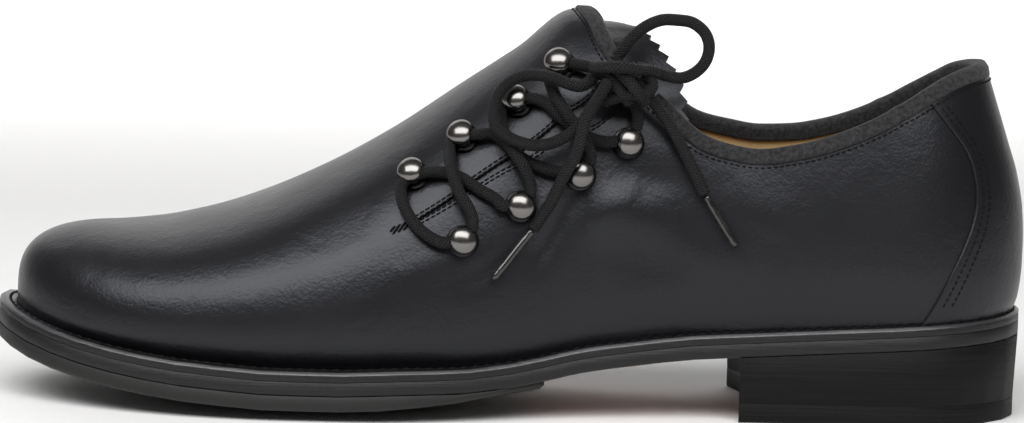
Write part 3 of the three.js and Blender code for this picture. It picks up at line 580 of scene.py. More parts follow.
def creaseAt(x, z):
    total = 0
    for crease in creases:
        best = 1
        place = 0
        line = crease["line"]
        for i in range(len(line) - 1):
            ax, az = line[i]
            bx, bz = line[i + 1]
            dx, dz = bx - ax, bz - az
            t = clamp01(((x - ax) * dx + (z - az) * dz) / (dx * dx + dz * dz))
            gap = math.hypot(x - ax - dx * t, z - az - dz * t)
            if gap < best:
                best = gap
                place = (i + t) / (len(line) - 1)
        fade = math.sin(math.pi * min(max(place, 0.02), 0.98)) ** 0.5
        total -= crease["depth"] * fade * math.exp(-((best / crease["width"]) ** 2))
    return total


print("last ready, corners at", round(quarterCorner, 4), round(flapCorner, 4))


# Materials
def newMaterial(name, color, roughness, metallic=0):
    material = bpy.data.materials.new(name)
    material.use_nodes = True
    nodes = material.node_tree.nodes
    shader = nodes["Principled BSDF"]
    shader.inputs["Base Color"].default_value = (*color, 1)
    shader.inputs["Roughness"].default_value = roughness
    shader.inputs["Metallic"].default_value = metallic
    return material, nodes, material.node_tree.links, shader


def objectMapping(nodes, links, scale=(1, 1, 1), source="Object"):
    place = nodes.new("ShaderNodeTexCoord")
    mapping = nodes.new("ShaderNodeMapping")
    mapping.inputs["Scale"].default_value = scale
    links.new(place.outputs[source], mapping.inputs["Vector"])
    return mapping.outputs["Vector"]


def noiseNode(nodes, links, vector, scale, detail=4, roughness=0.5, distortion=0):
    texture = nodes.new("ShaderNodeTexNoise")
    texture.inputs["Scale"].default_value = scale
    texture.inputs["Detail"].default_value = detail
    texture.inputs["Roughness"].default_value = roughness
    texture.inputs["Distortion"].default_value = distortion
    links.new(vector, texture.inputs["Vector"])
    return texture.outputs["Fac"]


def rampNode(nodes, links, value, stops):
    ramp = nodes.new("ShaderNodeValToRGB")
    links.new(value, ramp.inputs["Fac"])
    elements = ramp.color_ramp.elements
    for i, (place, color) in enumerate(stops):
        element = elements[i] if i < 2 else elements.new(place)
        element.position = place
        element.color = (*color, 1) if len(color) == 3 else color
    return ramp.outputs["Color"]


def spread(nodes, links, value, low, high):
    ranged = nodes.new("ShaderNodeMapRange")
    ranged.inputs["To Min"].default_value = low
    ranged.inputs["To Max"].default_value = high
    links.new(value, ranged.inputs["Value"])
    return ranged.outputs["Result"]


def bumpNode(nodes, links, height, strength, distance, before=None):
    bump = nodes.new("ShaderNodeBump")
    bump.inputs["Strength"].default_value = strength
    bump.inputs["Distance"].default_value = distance
    links.new(height, bump.inputs["Height"])
    if before is not None:
        links.new(before, bump.inputs["Normal"])
    return bump.outputs["Normal"]


def polishedLeather():
    material, nodes, links, shader = newMaterial("polishedLeather", (0.0055, 0.0055, 0.0068), 0.34)
    shader.inputs["Specular IOR Level"].default_value = 0.4
    shader.inputs["Specular Tint"].default_value = (0.9, 0.92, 1, 1)
    shader.inputs["Coat Weight"].default_value = 0.08
    shader.inputs["Coat Roughness"].default_value = 0.22
    vector = objectMapping(nodes, links)
    cloud = noiseNode(nodes, links, vector, 38, 3, 0.55)
    links.new(spread(nodes, links, cloud, 0.3, 0.46), shader.inputs["Roughness"])
    pores = nodes.new("ShaderNodeTexVoronoi")
    pores.feature = "SMOOTH_F1"
    pores.inputs["Scale"].default_value = 1500
    links.new(vector, pores.inputs["Vector"])
    grain = bumpNode(nodes, links, pores.outputs["Distance"], 0.24, 0.0002)
    fine = bumpNode(nodes, links, noiseNode(nodes, links, vector, 820, 4, 0.55), 0.3, 0.0003, grain)
    broad = bumpNode(nodes, links, noiseNode(nodes, links, vector, 120, 3, 0.5, 0.6), 0.16, 0.0014, fine)
    links.new(broad, shader.inputs["Normal"])
    return material


def suede(name, color, paler):
    material, nodes, links, shader = newMaterial(name, color, 0.95)
    shader.inputs["Sheen Weight"].default_value = 0.12
    shader.inputs["Sheen Roughness"].default_value = 0.5
    vector = objectMapping(nodes, links)
    nap = noiseNode(nodes, links, vector, 900, 6, 0.65, 0.4)
    shade = nodes.new("ShaderNodeMix")
    shade.data_type = "RGBA"
    shade.inputs["A"].default_value = (*color, 1)
    shade.inputs["B"].default_value = (*paler, 1)
    links.new(spread(nodes, links, nap, -1.4, 2.2), shade.inputs["Factor"])
    links.new(shade.outputs["Result"], shader.inputs["Base Color"])
    links.new(bumpNode(nodes, links, nap, 0.6, 0.0006), shader.inputs["Normal"])
    return material


def tanLining():
    material, nodes, links, shader = newMaterial("tanLining", (0.52, 0.36, 0.2), 0.6)
    vector = objectMapping(nodes, links)
    cloud = noiseNode(nodes, links, vector, 60, 5, 0.6)
    color = rampNode(nodes, links, cloud, [(0.3, (0.62, 0.41, 0.18)), (0.7, (0.82, 0.6, 0.32))])
    links.new(color, shader.inputs["Base Color"])
    nap = noiseNode(nodes, links, vector, 1400, 4)
    links.new(bumpNode(nodes, links, nap, 0.25, 0.0003), shader.inputs["Normal"])
    return material


def blackEdge(name, color, roughness, streak=0.4, specular=0.4):
    material, nodes, links, shader = newMaterial(name, color, roughness)
    shader.inputs["Specular IOR Level"].default_value = specular
    streaks = noiseNode(nodes, links, objectMapping(nodes, links, (22, 22, 2600)), 1, 5, 0.7)
    specks = noiseNode(nodes, links, objectMapping(nodes, links), 1300, 4, 0.6)
    links.new(spread(nodes, links, streaks, roughness - 0.16, roughness + 0.2), shader.inputs["Roughness"])
    pale = tuple(c * 1.8 + 0.004 for c in color)
    links.new(rampNode(nodes, links, streaks, [(0.42, color), (0.75, pale)]), shader.inputs["Base Color"])
    fine = bumpNode(nodes, links, specks, 0.2, 0.0002)
    links.new(bumpNode(nodes, links, streaks, streak, 0.0003, fine), shader.inputs["Normal"])
    return material


def rubber():
    material, nodes, links, shader = newMaterial("rubber", (0.008, 0.008, 0.0075), 0.55)
    vector = objectMapping(nodes, links)
    grit = noiseNode(nodes, links, vector, 1500, 4, 0.6)
    wear = noiseNode(nodes, links, vector, 80, 4)
    links.new(spread(nodes, links, wear, 0.5, 0.75), shader.inputs["Roughness"])
    links.new(bumpNode(nodes, links, grit, 0.3, 0.0003), shader.inputs["Normal"])
    return material


def nickel(name, color):
    material, nodes, links, shader = newMaterial(name, color, 0.16, 1)
    vector = objectMapping(nodes, links)
    wear = noiseNode(nodes, links, vector, 420, 5, 0.7)
    links.new(spread(nodes, links, wear, 0.16, 0.3), shader.inputs["Roughness"])
    links.new(bumpNode(nodes, links, wear, 0.04, 0.0002), shader.inputs["Normal"])
    return material


def waxedCord():
    material, nodes, links, shader = newMaterial("waxedCord", (0.0055, 0.0055, 0.0058), 0.5)
    shader.inputs["Sheen Weight"].default_value = 0.02
    shader.inputs["Specular IOR Level"].default_value = 0.3
    braids = []
    for slant in (1, -1):
        wave = nodes.new("ShaderNodeTexWave")
        wave.wave_type = "BANDS"
        wave.bands_direction = "X"
        wave.inputs["Scale"].default_value = 1
        mapping = nodes.new("ShaderNodeMapping")
        place = nodes.new("ShaderNodeTexCoord")
        mapping.inputs["Rotation"].default_value = (0, 0, slant * math.radians(45))
        links.new(place.outputs["UV"], mapping.inputs["Vector"])
        links.new(mapping.outputs["Vector"], wave.inputs["Vector"])
        braids.append(wave.outputs["Fac"])
    top = nodes.new("ShaderNodeMath")
    top.operation = "MAXIMUM"
    links.new(braids[0], top.inputs[0])
    links.new(braids[1], top.inputs[1])
    fuzz = noiseNode(nodes, links, objectMapping(nodes, links), 1700, 3, 0.6)
    lint = rampNode(nodes, links, fuzz, [(0.66, (0, 0, 0)), (0.74, (1, 1, 1))])
    # The strands are coloured darker in the braid's grooves and lighter on its crests, following the bump:
    # painted shade in the grooves
    stops = [(0.45, (0.0005, 0.0005, 0.0005)), (0.98, (0.011, 0.011, 0.012))]
    strands = rampNode(nodes, links, top.outputs[0], stops)
    shade = nodes.new("ShaderNodeMix")
    shade.data_type = "RGBA"
    shade.inputs["B"].default_value = (0.09, 0.085, 0.08, 1)
    links.new(lint, shade.inputs["Factor"])
    links.new(strands, shade.inputs["A"])
    links.new(shade.outputs["Result"], shader.inputs["Base Color"])
    links.new(bumpNode(nodes, links, top.outputs[0], 1, 0.0009), shader.inputs["Normal"])
    links.new(spread(nodes, links, top.outputs[0], 0.9, 0.5), shader.inputs["Roughness"])
    return material


def agletPlastic():
    material, nodes, links, shader = newMaterial("agletPlastic", (0.012, 0.011, 0.011), 0.12)
    shader.inputs["Coat Weight"].default_value = 0.6
    shader.inputs["Coat Roughness"].default_value = 0.06
    vector = objectMapping(nodes, links)
    cloud = noiseNode(nodes, links, vector, 500, 3)
    color = rampNode(nodes, links, cloud, [(0.35, (0.006, 0.006, 0.006)), (0.7, (0.03, 0.028, 0.026))])
    links.new(color, shader.inputs["Base Color"])
    links.new(bumpNode(nodes, links, cloud, 0.1, 0.0002), shader.inputs["Normal"])
    return material


def stitchThread():
    material, nodes, links, shader = newMaterial("stitchThread", (0.003, 0.003, 0.003), 0.8)
    vector = objectMapping(nodes, links)
    shader.inputs["Specular IOR Level"].default_value = 0.2
    twist = noiseNode(nodes, links, vector, 2600, 3)
    color = rampNode(nodes, links, twist, [(0.3, (0.0015, 0.0015, 0.0016)), (0.75, (0.006, 0.006, 0.0065))])
    links.new(color, shader.inputs["Base Color"])
    links.new(bumpNode(nodes, links, twist, 0.4, 0.0002), shader.inputs["Normal"])
    return material


leatherMaterial = polishedLeather()
bindingMaterial = suede("charcoalSuede", (0.005, 0.005, 0.0055), (0.034, 0.034, 0.037))
heelLiningMaterial = suede("darkSuede", (0.01, 0.01, 0.011), (0.06, 0.06, 0.065))
liningMaterial = tanLining()
edgeMaterial = blackEdge("blackSoleEdge", (0.006, 0.006, 0.0065), 0.4)
heelMaterial = blackEdge("blackHeelEdge", (0.0035, 0.0035, 0.0036), 0.5, 0.5, 0.18)
# A lighter, glossier copy of the sole edge's black for the welt's upward-sloping bevel: a painted highlight
weltBevelHighlight = blackEdge("weltBevelPaintedHighlight", (0.03, 0.03, 0.033), 0.34, 0.3, 0.8)
underMaterial = blackEdge("tannedSoleLeather", (0.2, 0.09, 0.055), 0.6, 0.2)
rubberMaterial = rubber()
nickelMaterial = nickel("nickel", (0.2, 0.192, 0.185))
# A near-black nickel for the stud's base and the foot of its waist under the dome: painted shade
studShadeMaterial = nickel("nickelPaintedShade", (0.03, 0.03, 0.03))
cordMaterial = waxedCord()
agletMaterial = agletPlastic()
threadMaterial = stitchThread()
print("materials ready")

# Lace: routes given point by point, in the shoe's own axes
lace = {"diameter": 0.0034, "agletDiameter": 0.0021, "sides": 16, "step": 0.0007, "braidPitch": 0.0021}
frontLoop = [
    (0.1268, 0.0324, 0.0988), (0.1289, 0.0336, 0.0964), (0.1312, 0.0344, 0.0954), (0.1343, 0.034, 0.0959),
    (0.1396, 0.0321, 0.0976), (0.1466, 0.0294, 0.0976), (0.1516, 0.0296, 0.0951), (0.1544, 0.0312, 0.0915),
    (0.1553, 0.0329, 0.0878), (0.1546, 0.0355, 0.0835), (0.1517, 0.0378, 0.0813), (0.1483, 0.039, 0.0798),
    (0.1435, 0.0396, 0.0789), (0.1388, 0.0396, 0.0797), (0.1341, 0.0399, 0.0823), (0.1302, 0.0386, 0.086),
    (0.1266, 0.0359, 0.091), (0.1244, 0.0339, 0.0944),
]
rearLoop = [
    (0.1208, 0.03, 0.1035), (0.1191, 0.03, 0.1058), (0.117, 0.03, 0.1087), (0.1131, 0.03, 0.1122),
    (0.1084, 0.03, 0.1143), (0.1041, 0.03, 0.1144), (0.0996, 0.03, 0.1137), (0.0961, 0.03, 0.1109),
    (0.0948, 0.03, 0.1073), (0.0956, 0.03, 0.103), (0.0983, 0.03, 0.0998), (0.1022, 0.03, 0.098),
    (0.1065, 0.03, 0.0985), (0.1108, 0.03, 0.0998), (0.1153, 0.03, 0.1008),
]
frontEnd = [
    (0.1234, 0.0374, 0.0973), (0.1251, 0.0388, 0.0944), (0.1268, 0.0404, 0.092), (0.1287, 0.042, 0.089),
    (0.1298, 0.043, 0.0862), (0.1307, 0.0434, 0.0828), (0.1314, 0.0432, 0.0793), (0.1325, 0.0424, 0.0758),
    (0.1344, 0.0414, 0.0723), (0.1362, 0.0402, 0.0684), (0.1389, 0.0396, 0.0623), (0.1413, 0.04, 0.0586),
    (0.1435, 0.0407, 0.0552),
]
rearEnd = [
    (0.1174, 0.0342, 0.0976), (0.1148, 0.0336, 0.0962), (0.1127, 0.033, 0.094), (0.1103, 0.0322, 0.0912),
    (0.1082, 0.0318, 0.0886), (0.1053, 0.0316, 0.0847), (0.1023, 0.0318, 0.0796), (0.1002, 0.0324, 0.0757),
    (0.0975, 0.0334, 0.0705), (0.0949, 0.0343, 0.0654),
]
frontAglet = [
    (0.1438, 0.0408, 0.0548),
    (0.1471, 0.0418, 0.0507),
    (0.1512, 0.0431, 0.0454),
    (0.1546, 0.0442, 0.0412),
]
rearAglet = [
    (0.0946, 0.0344, 0.0649),
    (0.0922, 0.0348, 0.0611),
    (0.089, 0.0355, 0.0561),
    (0.0857, 0.0361, 0.0511),
]
# Share, level and lift over the outer side, from the foremost stud to the knot
lowerHalf = [
    (0.604, 0.508, 3.2), (0.613, 0.5, 2.8), (0.615, 0.458, 2.2), (0.609, 0.382, 2.2), (0.595, 0.301, 2.2),
    (0.574, 0.244, 2.8), (0.56, 0.247, 3.2), (0.548, 0.254, 3.2), (0.548, 0.299, 3), (0.559, 0.371, 4.6),
    (0.565, 0.441, 5.2), (0.567, 0.512, 3.6), (0.566, 0.57, 2.8), (0.555, 0.565, 3.2), (0.542, 0.543, 3),
    (0.526, 0.517, 2.3), (0.512, 0.455, 2.2), (0.499, 0.398, 2.2), (0.482, 0.343, 2.2), (0.461, 0.3, 2.8),
    (0.446, 0.293, 3.2), (0.433, 0.314, 3), (0.437, 0.359, 4.2), (0.447, 0.398, 5.2), (0.456, 0.443, 4.6),
    (0.467, 0.524, 3), (0.47, 0.597, 2.8), (0.461, 0.609, 3.2), (0.449, 0.593, 3.2), (0.434, 0.575, 4.2),
]
upperHalf = [
    (0.604, 0.508, 3.2), (0.588, 0.495, 3), (0.572, 0.466, 2.2), (0.557, 0.424, 2.2), (0.54, 0.363, 2.2),
    (0.524, 0.314, 2.3), (0.518, 0.289, 2.8), (0.504, 0.28, 3.2), (0.492, 0.282, 3), (0.491, 0.315, 2.6),
    (0.498, 0.369, 5), (0.508, 0.427, 5.2), (0.515, 0.488, 4.2), (0.518, 0.559, 3), (0.515, 0.603, 2.8),
    (0.501, 0.585, 3.2), (0.488, 0.557, 3), (0.476, 0.514, 2.6), (0.465, 0.459, 2.2), (0.449, 0.403, 2.2),
    (0.431, 0.37, 2.2), (0.414, 0.357, 2.8), (0.399, 0.365, 3.2), (0.389, 0.393, 3.2), (0.389, 0.438, 4.2),
    (0.397, 0.476, 5),
]


# A smooth line through points, evenly spaced
def smoothPath(points, step):
    points = [Vector(p) for p in points]
    ends = [points[0] * 2 - points[1], *points, points[-1] * 2 - points[-2]]
    fine = []
    for i in range(1, len(ends) - 2):
        p0, p1, p2, p3 = ends[i - 1:i + 3]
        t0 = 0
        t1 = t0 + max((p1 - p0).length, 1e-6) ** 0.5
        t2 = t1 + max((p2 - p1).length, 1e-6) ** 0.5
        t3 = t2 + max((p3 - p2).length, 1e-6) ** 0.5
        for k in range(16):
            t = mix(t1, t2, k / 16)
            a1 = p0 * ((t1 - t) / (t1 - t0)) + p1 * ((t - t0) / (t1 - t0))
            a2 = p1 * ((t2 - t) / (t2 - t1)) + p2 * ((t - t1) / (t2 - t1))
            a3 = p2 * ((t3 - t) / (t3 - t2)) + p3 * ((t - t2) / (t3 - t2))
            b1 = a1 * ((t2 - t) / (t2 - t0)) + a2 * ((t - t0) / (t2 - t0))
            b2 = a2 * ((t3 - t) / (t3 - t1)) + a3 * ((t - t1) / (t3 - t1))
            fine.append(b1 * ((t2 - t) / (t2 - t1)) + b2 * ((t - t1) / (t2 - t1)))
    fine.append(points[-1])
    return evenly(fine, step)


def evenly(fine, step):
    lengths = [0]
    for a, b in zip(fine, fine[1:]):
        lengths.append(lengths[-1] + (b - a).length)
    count = max(int(lengths[-1] / step), 2)
    spacedOut = []
    i = 0
    for k in range(count + 1):
        want = lengths[-1] * k / count
        while i < len(fine) - 2 and lengths[i + 1] < want:
            i += 1
        span = max(lengths[i + 1] - lengths[i], 1e-9)
        spacedOut.append(fine[i].lerp(fine[i + 1], clamp01((want - lengths[i]) / span)))
    return spacedOut


# A round tube along a path, with its UV map in braid pitches along it and turns around it
def tubePiece(name, path, radiusAt, sides, pitch):
    rings = []
    tangent = (path[1] - path[0]).normalized()
    across = tangent.orthogonal().normalized()
    for i, p in enumerate(path):
        ahead = path[min(i + 1, len(path) - 1)] - path[max(i - 1, 0)]
        ahead.normalize()
        across = (across - ahead * across.dot(ahead)).normalized()
        other = ahead.cross(across)
        radius = radiusAt(i / (len(path) - 1))
        turns = [k / sides * 2 * math.pi for k in range(sides)]
        rings.append([p + (across * math.cos(turn) + other * math.sin(turn)) * radius for turn in turns])
    points = [q for ring in rings for q in ring]
    faces = []
    for i in range(len(rings) - 1):
        for k in range(sides):
            n = (k + 1) % sides
            faces.append((i * sides + k, i * sides + n, (i + 1) * sides + n, (i + 1) * sides + k))
    faces.append(tuple(reversed(range(sides))))
    faces.append(tuple((len(rings) - 1) * sides + k for k in range(sides)))
    obj = newPiece(name, points, faces)
    layer = obj.data.uv_layers.new(name="UVMap")
    runs = [0]
    for a, b in zip(path, path[1:]):
        runs.append(runs[-1] + (b - a).length / pitch)
    loop = 0
    for i in range(len(rings) - 1):
        for k in range(sides):
            for u, v in ((i, k), (i, k + 1), (i + 1, k + 1), (i + 1, k)):
                layer.data[loop].uv = (runs[u], v / sides * 4)
                loop += 1
    for polygon in obj.data.polygons:
        polygon.use_smooth = len(polygon.vertices) == 4
    return obj


def cordTube(name, path):
    return tubePiece(name, path, lambda t: lace["diameter"] / 2, lace["sides"], lace["braidPitch"])


def bowPiece(name, route, node):
    path = [toRow(p) for p in smoothPath(route, lace["step"])]
    obj = cordTube(name, path)
    finishPiece(obj, cordMaterial, [node])
    return obj, path


# Aglet: crimped at two places along it and rounded at its tip
aglet = {
    "sides": 20,
    "crimps": (0.12, 0.88),
    "crimpDepth": 0.00012,
    "crimpWidth": 0.04,
    "tip": 0.0007,
    "tipStart": 0.93,
}


def agletPiece(name, route, node):
    path = [toRow(p) for p in smoothPath(route, lace["step"])]

    def radiusAt(t):
        crimped = sum(math.exp(-(((t - place) / aglet["crimpWidth"]) ** 2)) for place in aglet["crimps"])
        tip = aglet["tip"] * smoothStep((t - aglet["tipStart"]) / (1 - aglet["tipStart"]))
        return lace["agletDiameter"] / 2 - aglet["crimpDepth"] * crimped - tip

    obj = tubePiece(name, path, radiusAt, aglet["sides"], lace["braidPitch"])
    finishPiece(obj, agletMaterial, [node])
    return obj


frontLoopPiece, frontLoopPath = bowPiece("laceLoopFront", frontLoop, "lace_loop_front")
rearLoopPiece, rearLoopPath = bowPiece("laceLoopRear", rearLoop, "lace_loop_rear")
frontEndPiece, frontEndPath = bowPiece("laceEndFront", frontEnd, "lace_end_front")
rearEndPiece, rearEndPath = bowPiece("laceEndRear", rearEnd, "lace_end_rear")
frontAgletPiece = agletPiece("agletFront", frontAglet, "aglet_front")
rearAgletPiece = agletPiece("agletRear", rearAglet, "aglet_rear")


# The lace's halves between the studs
def overOuterSide(route):
    return [lifted(share, 1, level, lift * 0.001) for share, level, lift in route]


def joined(name, parts):
    selectOnly(parts[0])
    for part in parts[1:]:
        part.select_set(True)
    bpy.ops.object.join()
    parts[0].name = name
    parts[0].data.name = name
    return parts[0]


halfPaths = []
for route in (lowerHalf, upperHalf):
    halfPaths.append([toRow(p) for p in smoothPath(overOuterSide(route), lace["step"])])
laceHalves = [cordTube("laceHalf" + str(i), path) for i, path in enumerate(halfPaths)]
laceCrossings = joined("laceCrossings", laceHalves)
finishPiece(laceCrossings, cordMaterial, ["lace_crossings"])

# The knot: a wrap round its middle, strands laid over it, and the roots of the loops, ends and halves
knot = {
    "centre": (0.1203, 0.0322, 0.0985),
    "wrapY": 0.0022,
    "wrapZ": 0.0028,
    "wrapGap": 0.0012,
    "wrapTurns": 1.02,
    "wrapSteps": 40,
    "tilt": 0.00105,
    "rootStart": 0.15,
    "rootMiddle": 0.6,
}
knotStrands = [
    [(0.1278, 0.0346, 0.1008), (0.1243, 0.0382, 0.1014), (0.1198, 0.0396, 0.1016), (0.1162, 0.0378, 0.101),
     (0.1128, 0.034, 0.1004), (0.109, 0.0312, 0.0993)],
    [(0.1222, 0.0348, 0.1015), (0.1196, 0.0372, 0.0994), (0.1168, 0.0382, 0.0966), (0.1144, 0.0374, 0.0937),
     (0.1126, 0.0352, 0.0914)],
    [(0.124, 0.0334, 0.0912), (0.1206, 0.0352, 0.0926), (0.1168, 0.0366, 0.0935), (0.1128, 0.0362, 0.094),
     (0.1106, 0.0338, 0.0962), (0.113, 0.032, 0.0985)],
    [(0.1232, 0.0338, 0.0992), (0.1214, 0.036, 0.0966), (0.1192, 0.0362, 0.0938), (0.1172, 0.0348, 0.0912)],
]


def knotPiece():
    centre = Vector(knot["centre"])
    wraps = []
    for k, shift in enumerate((-knot["wrapGap"], knot["wrapGap"])):
        ring = []
        for i in range(knot["wrapSteps"] + 1):
            turn = i / knot["wrapSteps"] * 2 * math.pi * knot["wrapTurns"]
            ring.append(toRow(centre + Vector((
                shift + knot["tilt"] * math.sin(turn),
                knot["wrapY"] * math.cos(turn),
                knot["wrapZ"] * math.sin(turn),
            ))))
        wraps.append(cordTube("knotWrap" + str(k), ring))
    for k, strand in enumerate(knotStrands):
        laid = [toRow(p) for p in smoothPath(strand, lace["step"])]
        wraps.append(cordTube("knotStrand" + str(k), laid))
    roots = [frontLoop[0], frontLoop[-1], rearLoop[0], rearLoop[-1], frontEnd[0], rearEnd[0]]
    starts = [Vector(p) for p in roots] + [path[-1] - shoeOrigin for path in halfPaths]
    for k, start in enumerate(starts):
        inner = centre.lerp(start, knot["rootStart"])
        middle = centre.lerp(start, knot["rootMiddle"])
        root = [toRow(p) for p in smoothPath([inner, middle, start], lace["step"])]
        wraps.append(cordTube("knotRoot" + str(k), root))
    return joined("laceKnot", wraps)


laceKnot = knotPiece()
finishPiece(laceKnot, cordMaterial, ["lace_knot"])
print("lace ready")


# Upper: the outer side below and above the slit, and the inner side, as one skin with a wall behind it.
# Its rows from the outsole up to the widest line, where the rest of each column starts.
footLevels = [-2, -1.5, -1, -0.85, -0.7, -0.5, -0.3, -0.15]


def columnLevels(low, high, rows):
    return [mix(low, high, i / rows) for i in range(rows + 1)]


def lowerTop(share):
    if share <= quarterCorner:
        return collarLevel(share, 1)
    return slitLower(share) if share <= slitFront else slitClosed


def upperFoot(share):
    return slitUpper(share) if share <= slitFront else slitClosed


def upperGrids():
    lower = [
        [skin(s, 1, v) for v in footLevels + columnLevels(0, lowerTop(s), 26)]
        for s in reversed(allShares)
    ]
    flapShares = [s for s in allShares if s >= flapCorner - 1e-9]
    flap = [
        [skin(s, 1, v) for v in columnLevels(upperFoot(s), collarLevel(s, 1), 28)]
        for s in reversed(flapShares)
    ]
    inner = [
        [skin(s, -1, v) for v in footLevels + columnLevels(0, collarLevel(s, -1), 46)]
        for s in allShares
    ]
    return [lower, flap, inner]


def pressCreases(obj):
    pressed = []
    for vertex in obj.data.vertices:
        p = vertex.co - shoeOrigin
        facing = smoothStep((vertex.normal.y - 0.05) / 0.2)
        pressed.append(vertex.co + vertex.normal * (creaseAt(p.x, p.z) * facing if facing > 0 else 0))
    for vertex, place in zip(obj.data.vertices, pressed):
        vertex.co = place
    obj.data.update()


edgeEase = {"width": 0.00025, "segments": 2, "angle": 55}


def upperPiece():
    obj = gridPiece("upperLeather", upperGrids())
    weld(obj)
    pressCreases(obj)
    wall = obj.modifiers.new("wall", "SOLIDIFY")
    wall.thickness = last["leather"]
    wall.offset = -1
    wall.use_even_offset = False
    applyAll(obj)
    edges = obj.modifiers.new("edges", "BEVEL")
    edges.width = edgeEase["width"]
    edges.segments = edgeEase["segments"]
    edges.limit_method = "ANGLE"
    edges.angle_limit = math.radians(edgeEase["angle"])
    applyAll(obj)
    smooth(obj, 50)
    finishPiece(obj, leatherMaterial, ["upper"])
    return obj


upperLeather = upperPiece()
print("upper ready:", len(upperLeather.data.polygons), "faces")

# Counter: height and share of its front edge, from the welt up to the binding
counter = {
    "thickness": 0.0008,
    "drop": 0.003,
    "rowGap": 0.0016,
    "rowLift": 0.00008,
    "rowSpan": (10, 115),
    "rowSteps": 120,
    "columns": 22,
    "rows": 60,
    "collarShare": 0.112,
    "fade": 0.006,
}
counterLine = [
    (0.029, 0.113), (0.0345, 0.1071), (0.043, 0.0984), (0.0513, 0.0894), (0.0592, 0.0817), (0.0645, 0.0787),
    (0.0695, 0.0775), (0.0746, 0.0784), (0.0786, 0.0815), (0.0819, 0.0868), (0.0855, 0.0935), (0.0892, 0.1011),
    (0.0928, 0.1085), (0.096, 0.114),
]
counterFront = along(counterLine, 1)


def overCounter(share):
    return counter["thickness"] * smoothStep((counter["collarShare"] - share) / counter["fade"])


def counterPlace(part, up):
    side = 1 if part > 0 else -1
    share = abs(part) * counterLine[0][1]
    for _ in range(4):
        top = skin(share, side, levelBelowCollar(share, side, counter["drop"])).z
        z = mix(counterLine[0][0], top, up)
        share = abs(part) * counterFront(z)
    return share, side, levelAtHeight(share, side, z)


def counterPiece():
    fringe = [1, 0.997, 0.993, 0.988, 0.98]
    lifts = [-0.1, 0.55, 0.85, 0.97, 1]
    columns = counter["columns"]
    inner = [fringe[-1] * (1 - i / columns) for i in range(1, columns)]
    parts = fringe + inner + [0] + [-p for p in reversed(inner)] + [-p for p in reversed(fringe)]
    grid = []
    for part in parts:
        rise = lifts[fringe.index(abs(part))] if abs(part) in fringe else 1
        column = []
        for k in range(counter["rows"] + 1):
            share, side, level = counterPlace(part, k / counter["rows"])
            column.append(lifted(share, side, level, counter["thickness"] * rise))
        grid.append(column)
    obj = gridPiece("backCounter", [grid])
    weld(obj)
    wall = obj.modifiers.new("wall", "SOLIDIFY")
    wall.thickness = counter["thickness"]
    wall.offset = -1
    applyAll(obj)
    smooth(obj, 50)
    finishPiece(obj, leatherMaterial)
    return obj


counterPiece()


# Evenly spaced places along a row of points, each as the point before it and the share to the next
def placesAlong(points, pitch):
    lengths = [0]
    for a, b in zip(points, points[1:]):
        lengths.append(lengths[-1] + (b - a).length)
    count = max(int(lengths[-1] / pitch), 1)
    found = []
    i = 0
    for k in range(count):
        want = lengths[-1] * (k + 0.5) / count
        while i < len(points) - 2 and lengths[i + 1] < want:
            i += 1
        found.append((i, clamp01((want - lengths[i]) / max(lengths[i + 1] - lengths[i], 1e-9))))
    return found


def onPath(places, pitch):
    line = [lifted(share, side, level, lift) for share, side, level, lift in places]
    normals = [normalAt(share, side, level) for share, side, level, lift in places]
    found = []
    for i, t in placesAlong(line, pitch):
        run = (line[i + 1] - line[i]).normalized()
        found.append((line[i].lerp(line[i + 1], t), run, normals[i].lerp(normals[i + 1], t).normalized()))
    return found


# Stitches: short threads along a path on the leather, each one a small many-sided bead
def stitchRows(name, rows, size):
    points = []
    faces = []
    sides = 6
    profile = [(-0.5, 0.35), (-0.36, 0.85), (0, 1), (0.36, 0.85), (0.5, 0.35)]
    for row in rows:
        for centre, run, normal in row:
            across = normal.cross(run).normalized()
            base = len(points)
            for place, wide in profile:
                dip = (abs(place) * 2) ** 3 * size["width"] * 0.5
                for k in range(sides):
                    turn = k / sides * 2 * math.pi
                    offset = across * math.cos(turn) + normal * math.sin(turn)
                    middle = centre + run * place * size["length"] - normal * dip
                    points.append(toRow(middle + offset * wide * size["width"] / 2))
            for r in range(len(profile) - 1):
                for k in range(sides):
                    n = (k + 1) % sides
                    a = base + r * sides
                    faces.append((a + k, a + sides + k, a + sides + n, a + n))
            faces.append(tuple(base + k for k in range(sides)))
            top = base + (len(profile) - 1) * sides
            faces.append(tuple(top + k for k in reversed(range(sides))))
    obj = newPiece(name, points, faces)
    weld(obj, 0.000001, True)
    smooth(obj, 80)
    finishPiece(obj, threadMaterial)
    return obj


stitch = {
    "pitch": 0.0018,
    "length": 0.00145,
    "width": 0.00055,
    "edge": 0.0012,
    "rawEdge": 0.0001,
    "slitFront": 0.604,
    "slitLength": 0.0017,
    "collarFall": 0.0043,
    "lift": 0.0001,
}


def levelStep(share, side, level, distance):
    step = 0.01
    length = (skin(share, side, level + step) - skin(share, side, level)).length
    return distance * step / length


def slitRow(edgeLevel, first, final, sign, distance):
    places = []
    for i in range(90):
        share = mix(first, final, i / 89)
        level = edgeLevel(share)
        places.append((share, 1, level + sign * levelStep(share, 1, level, distance), stitch["lift"]))
    return onPath(places, stitch["pitch"])


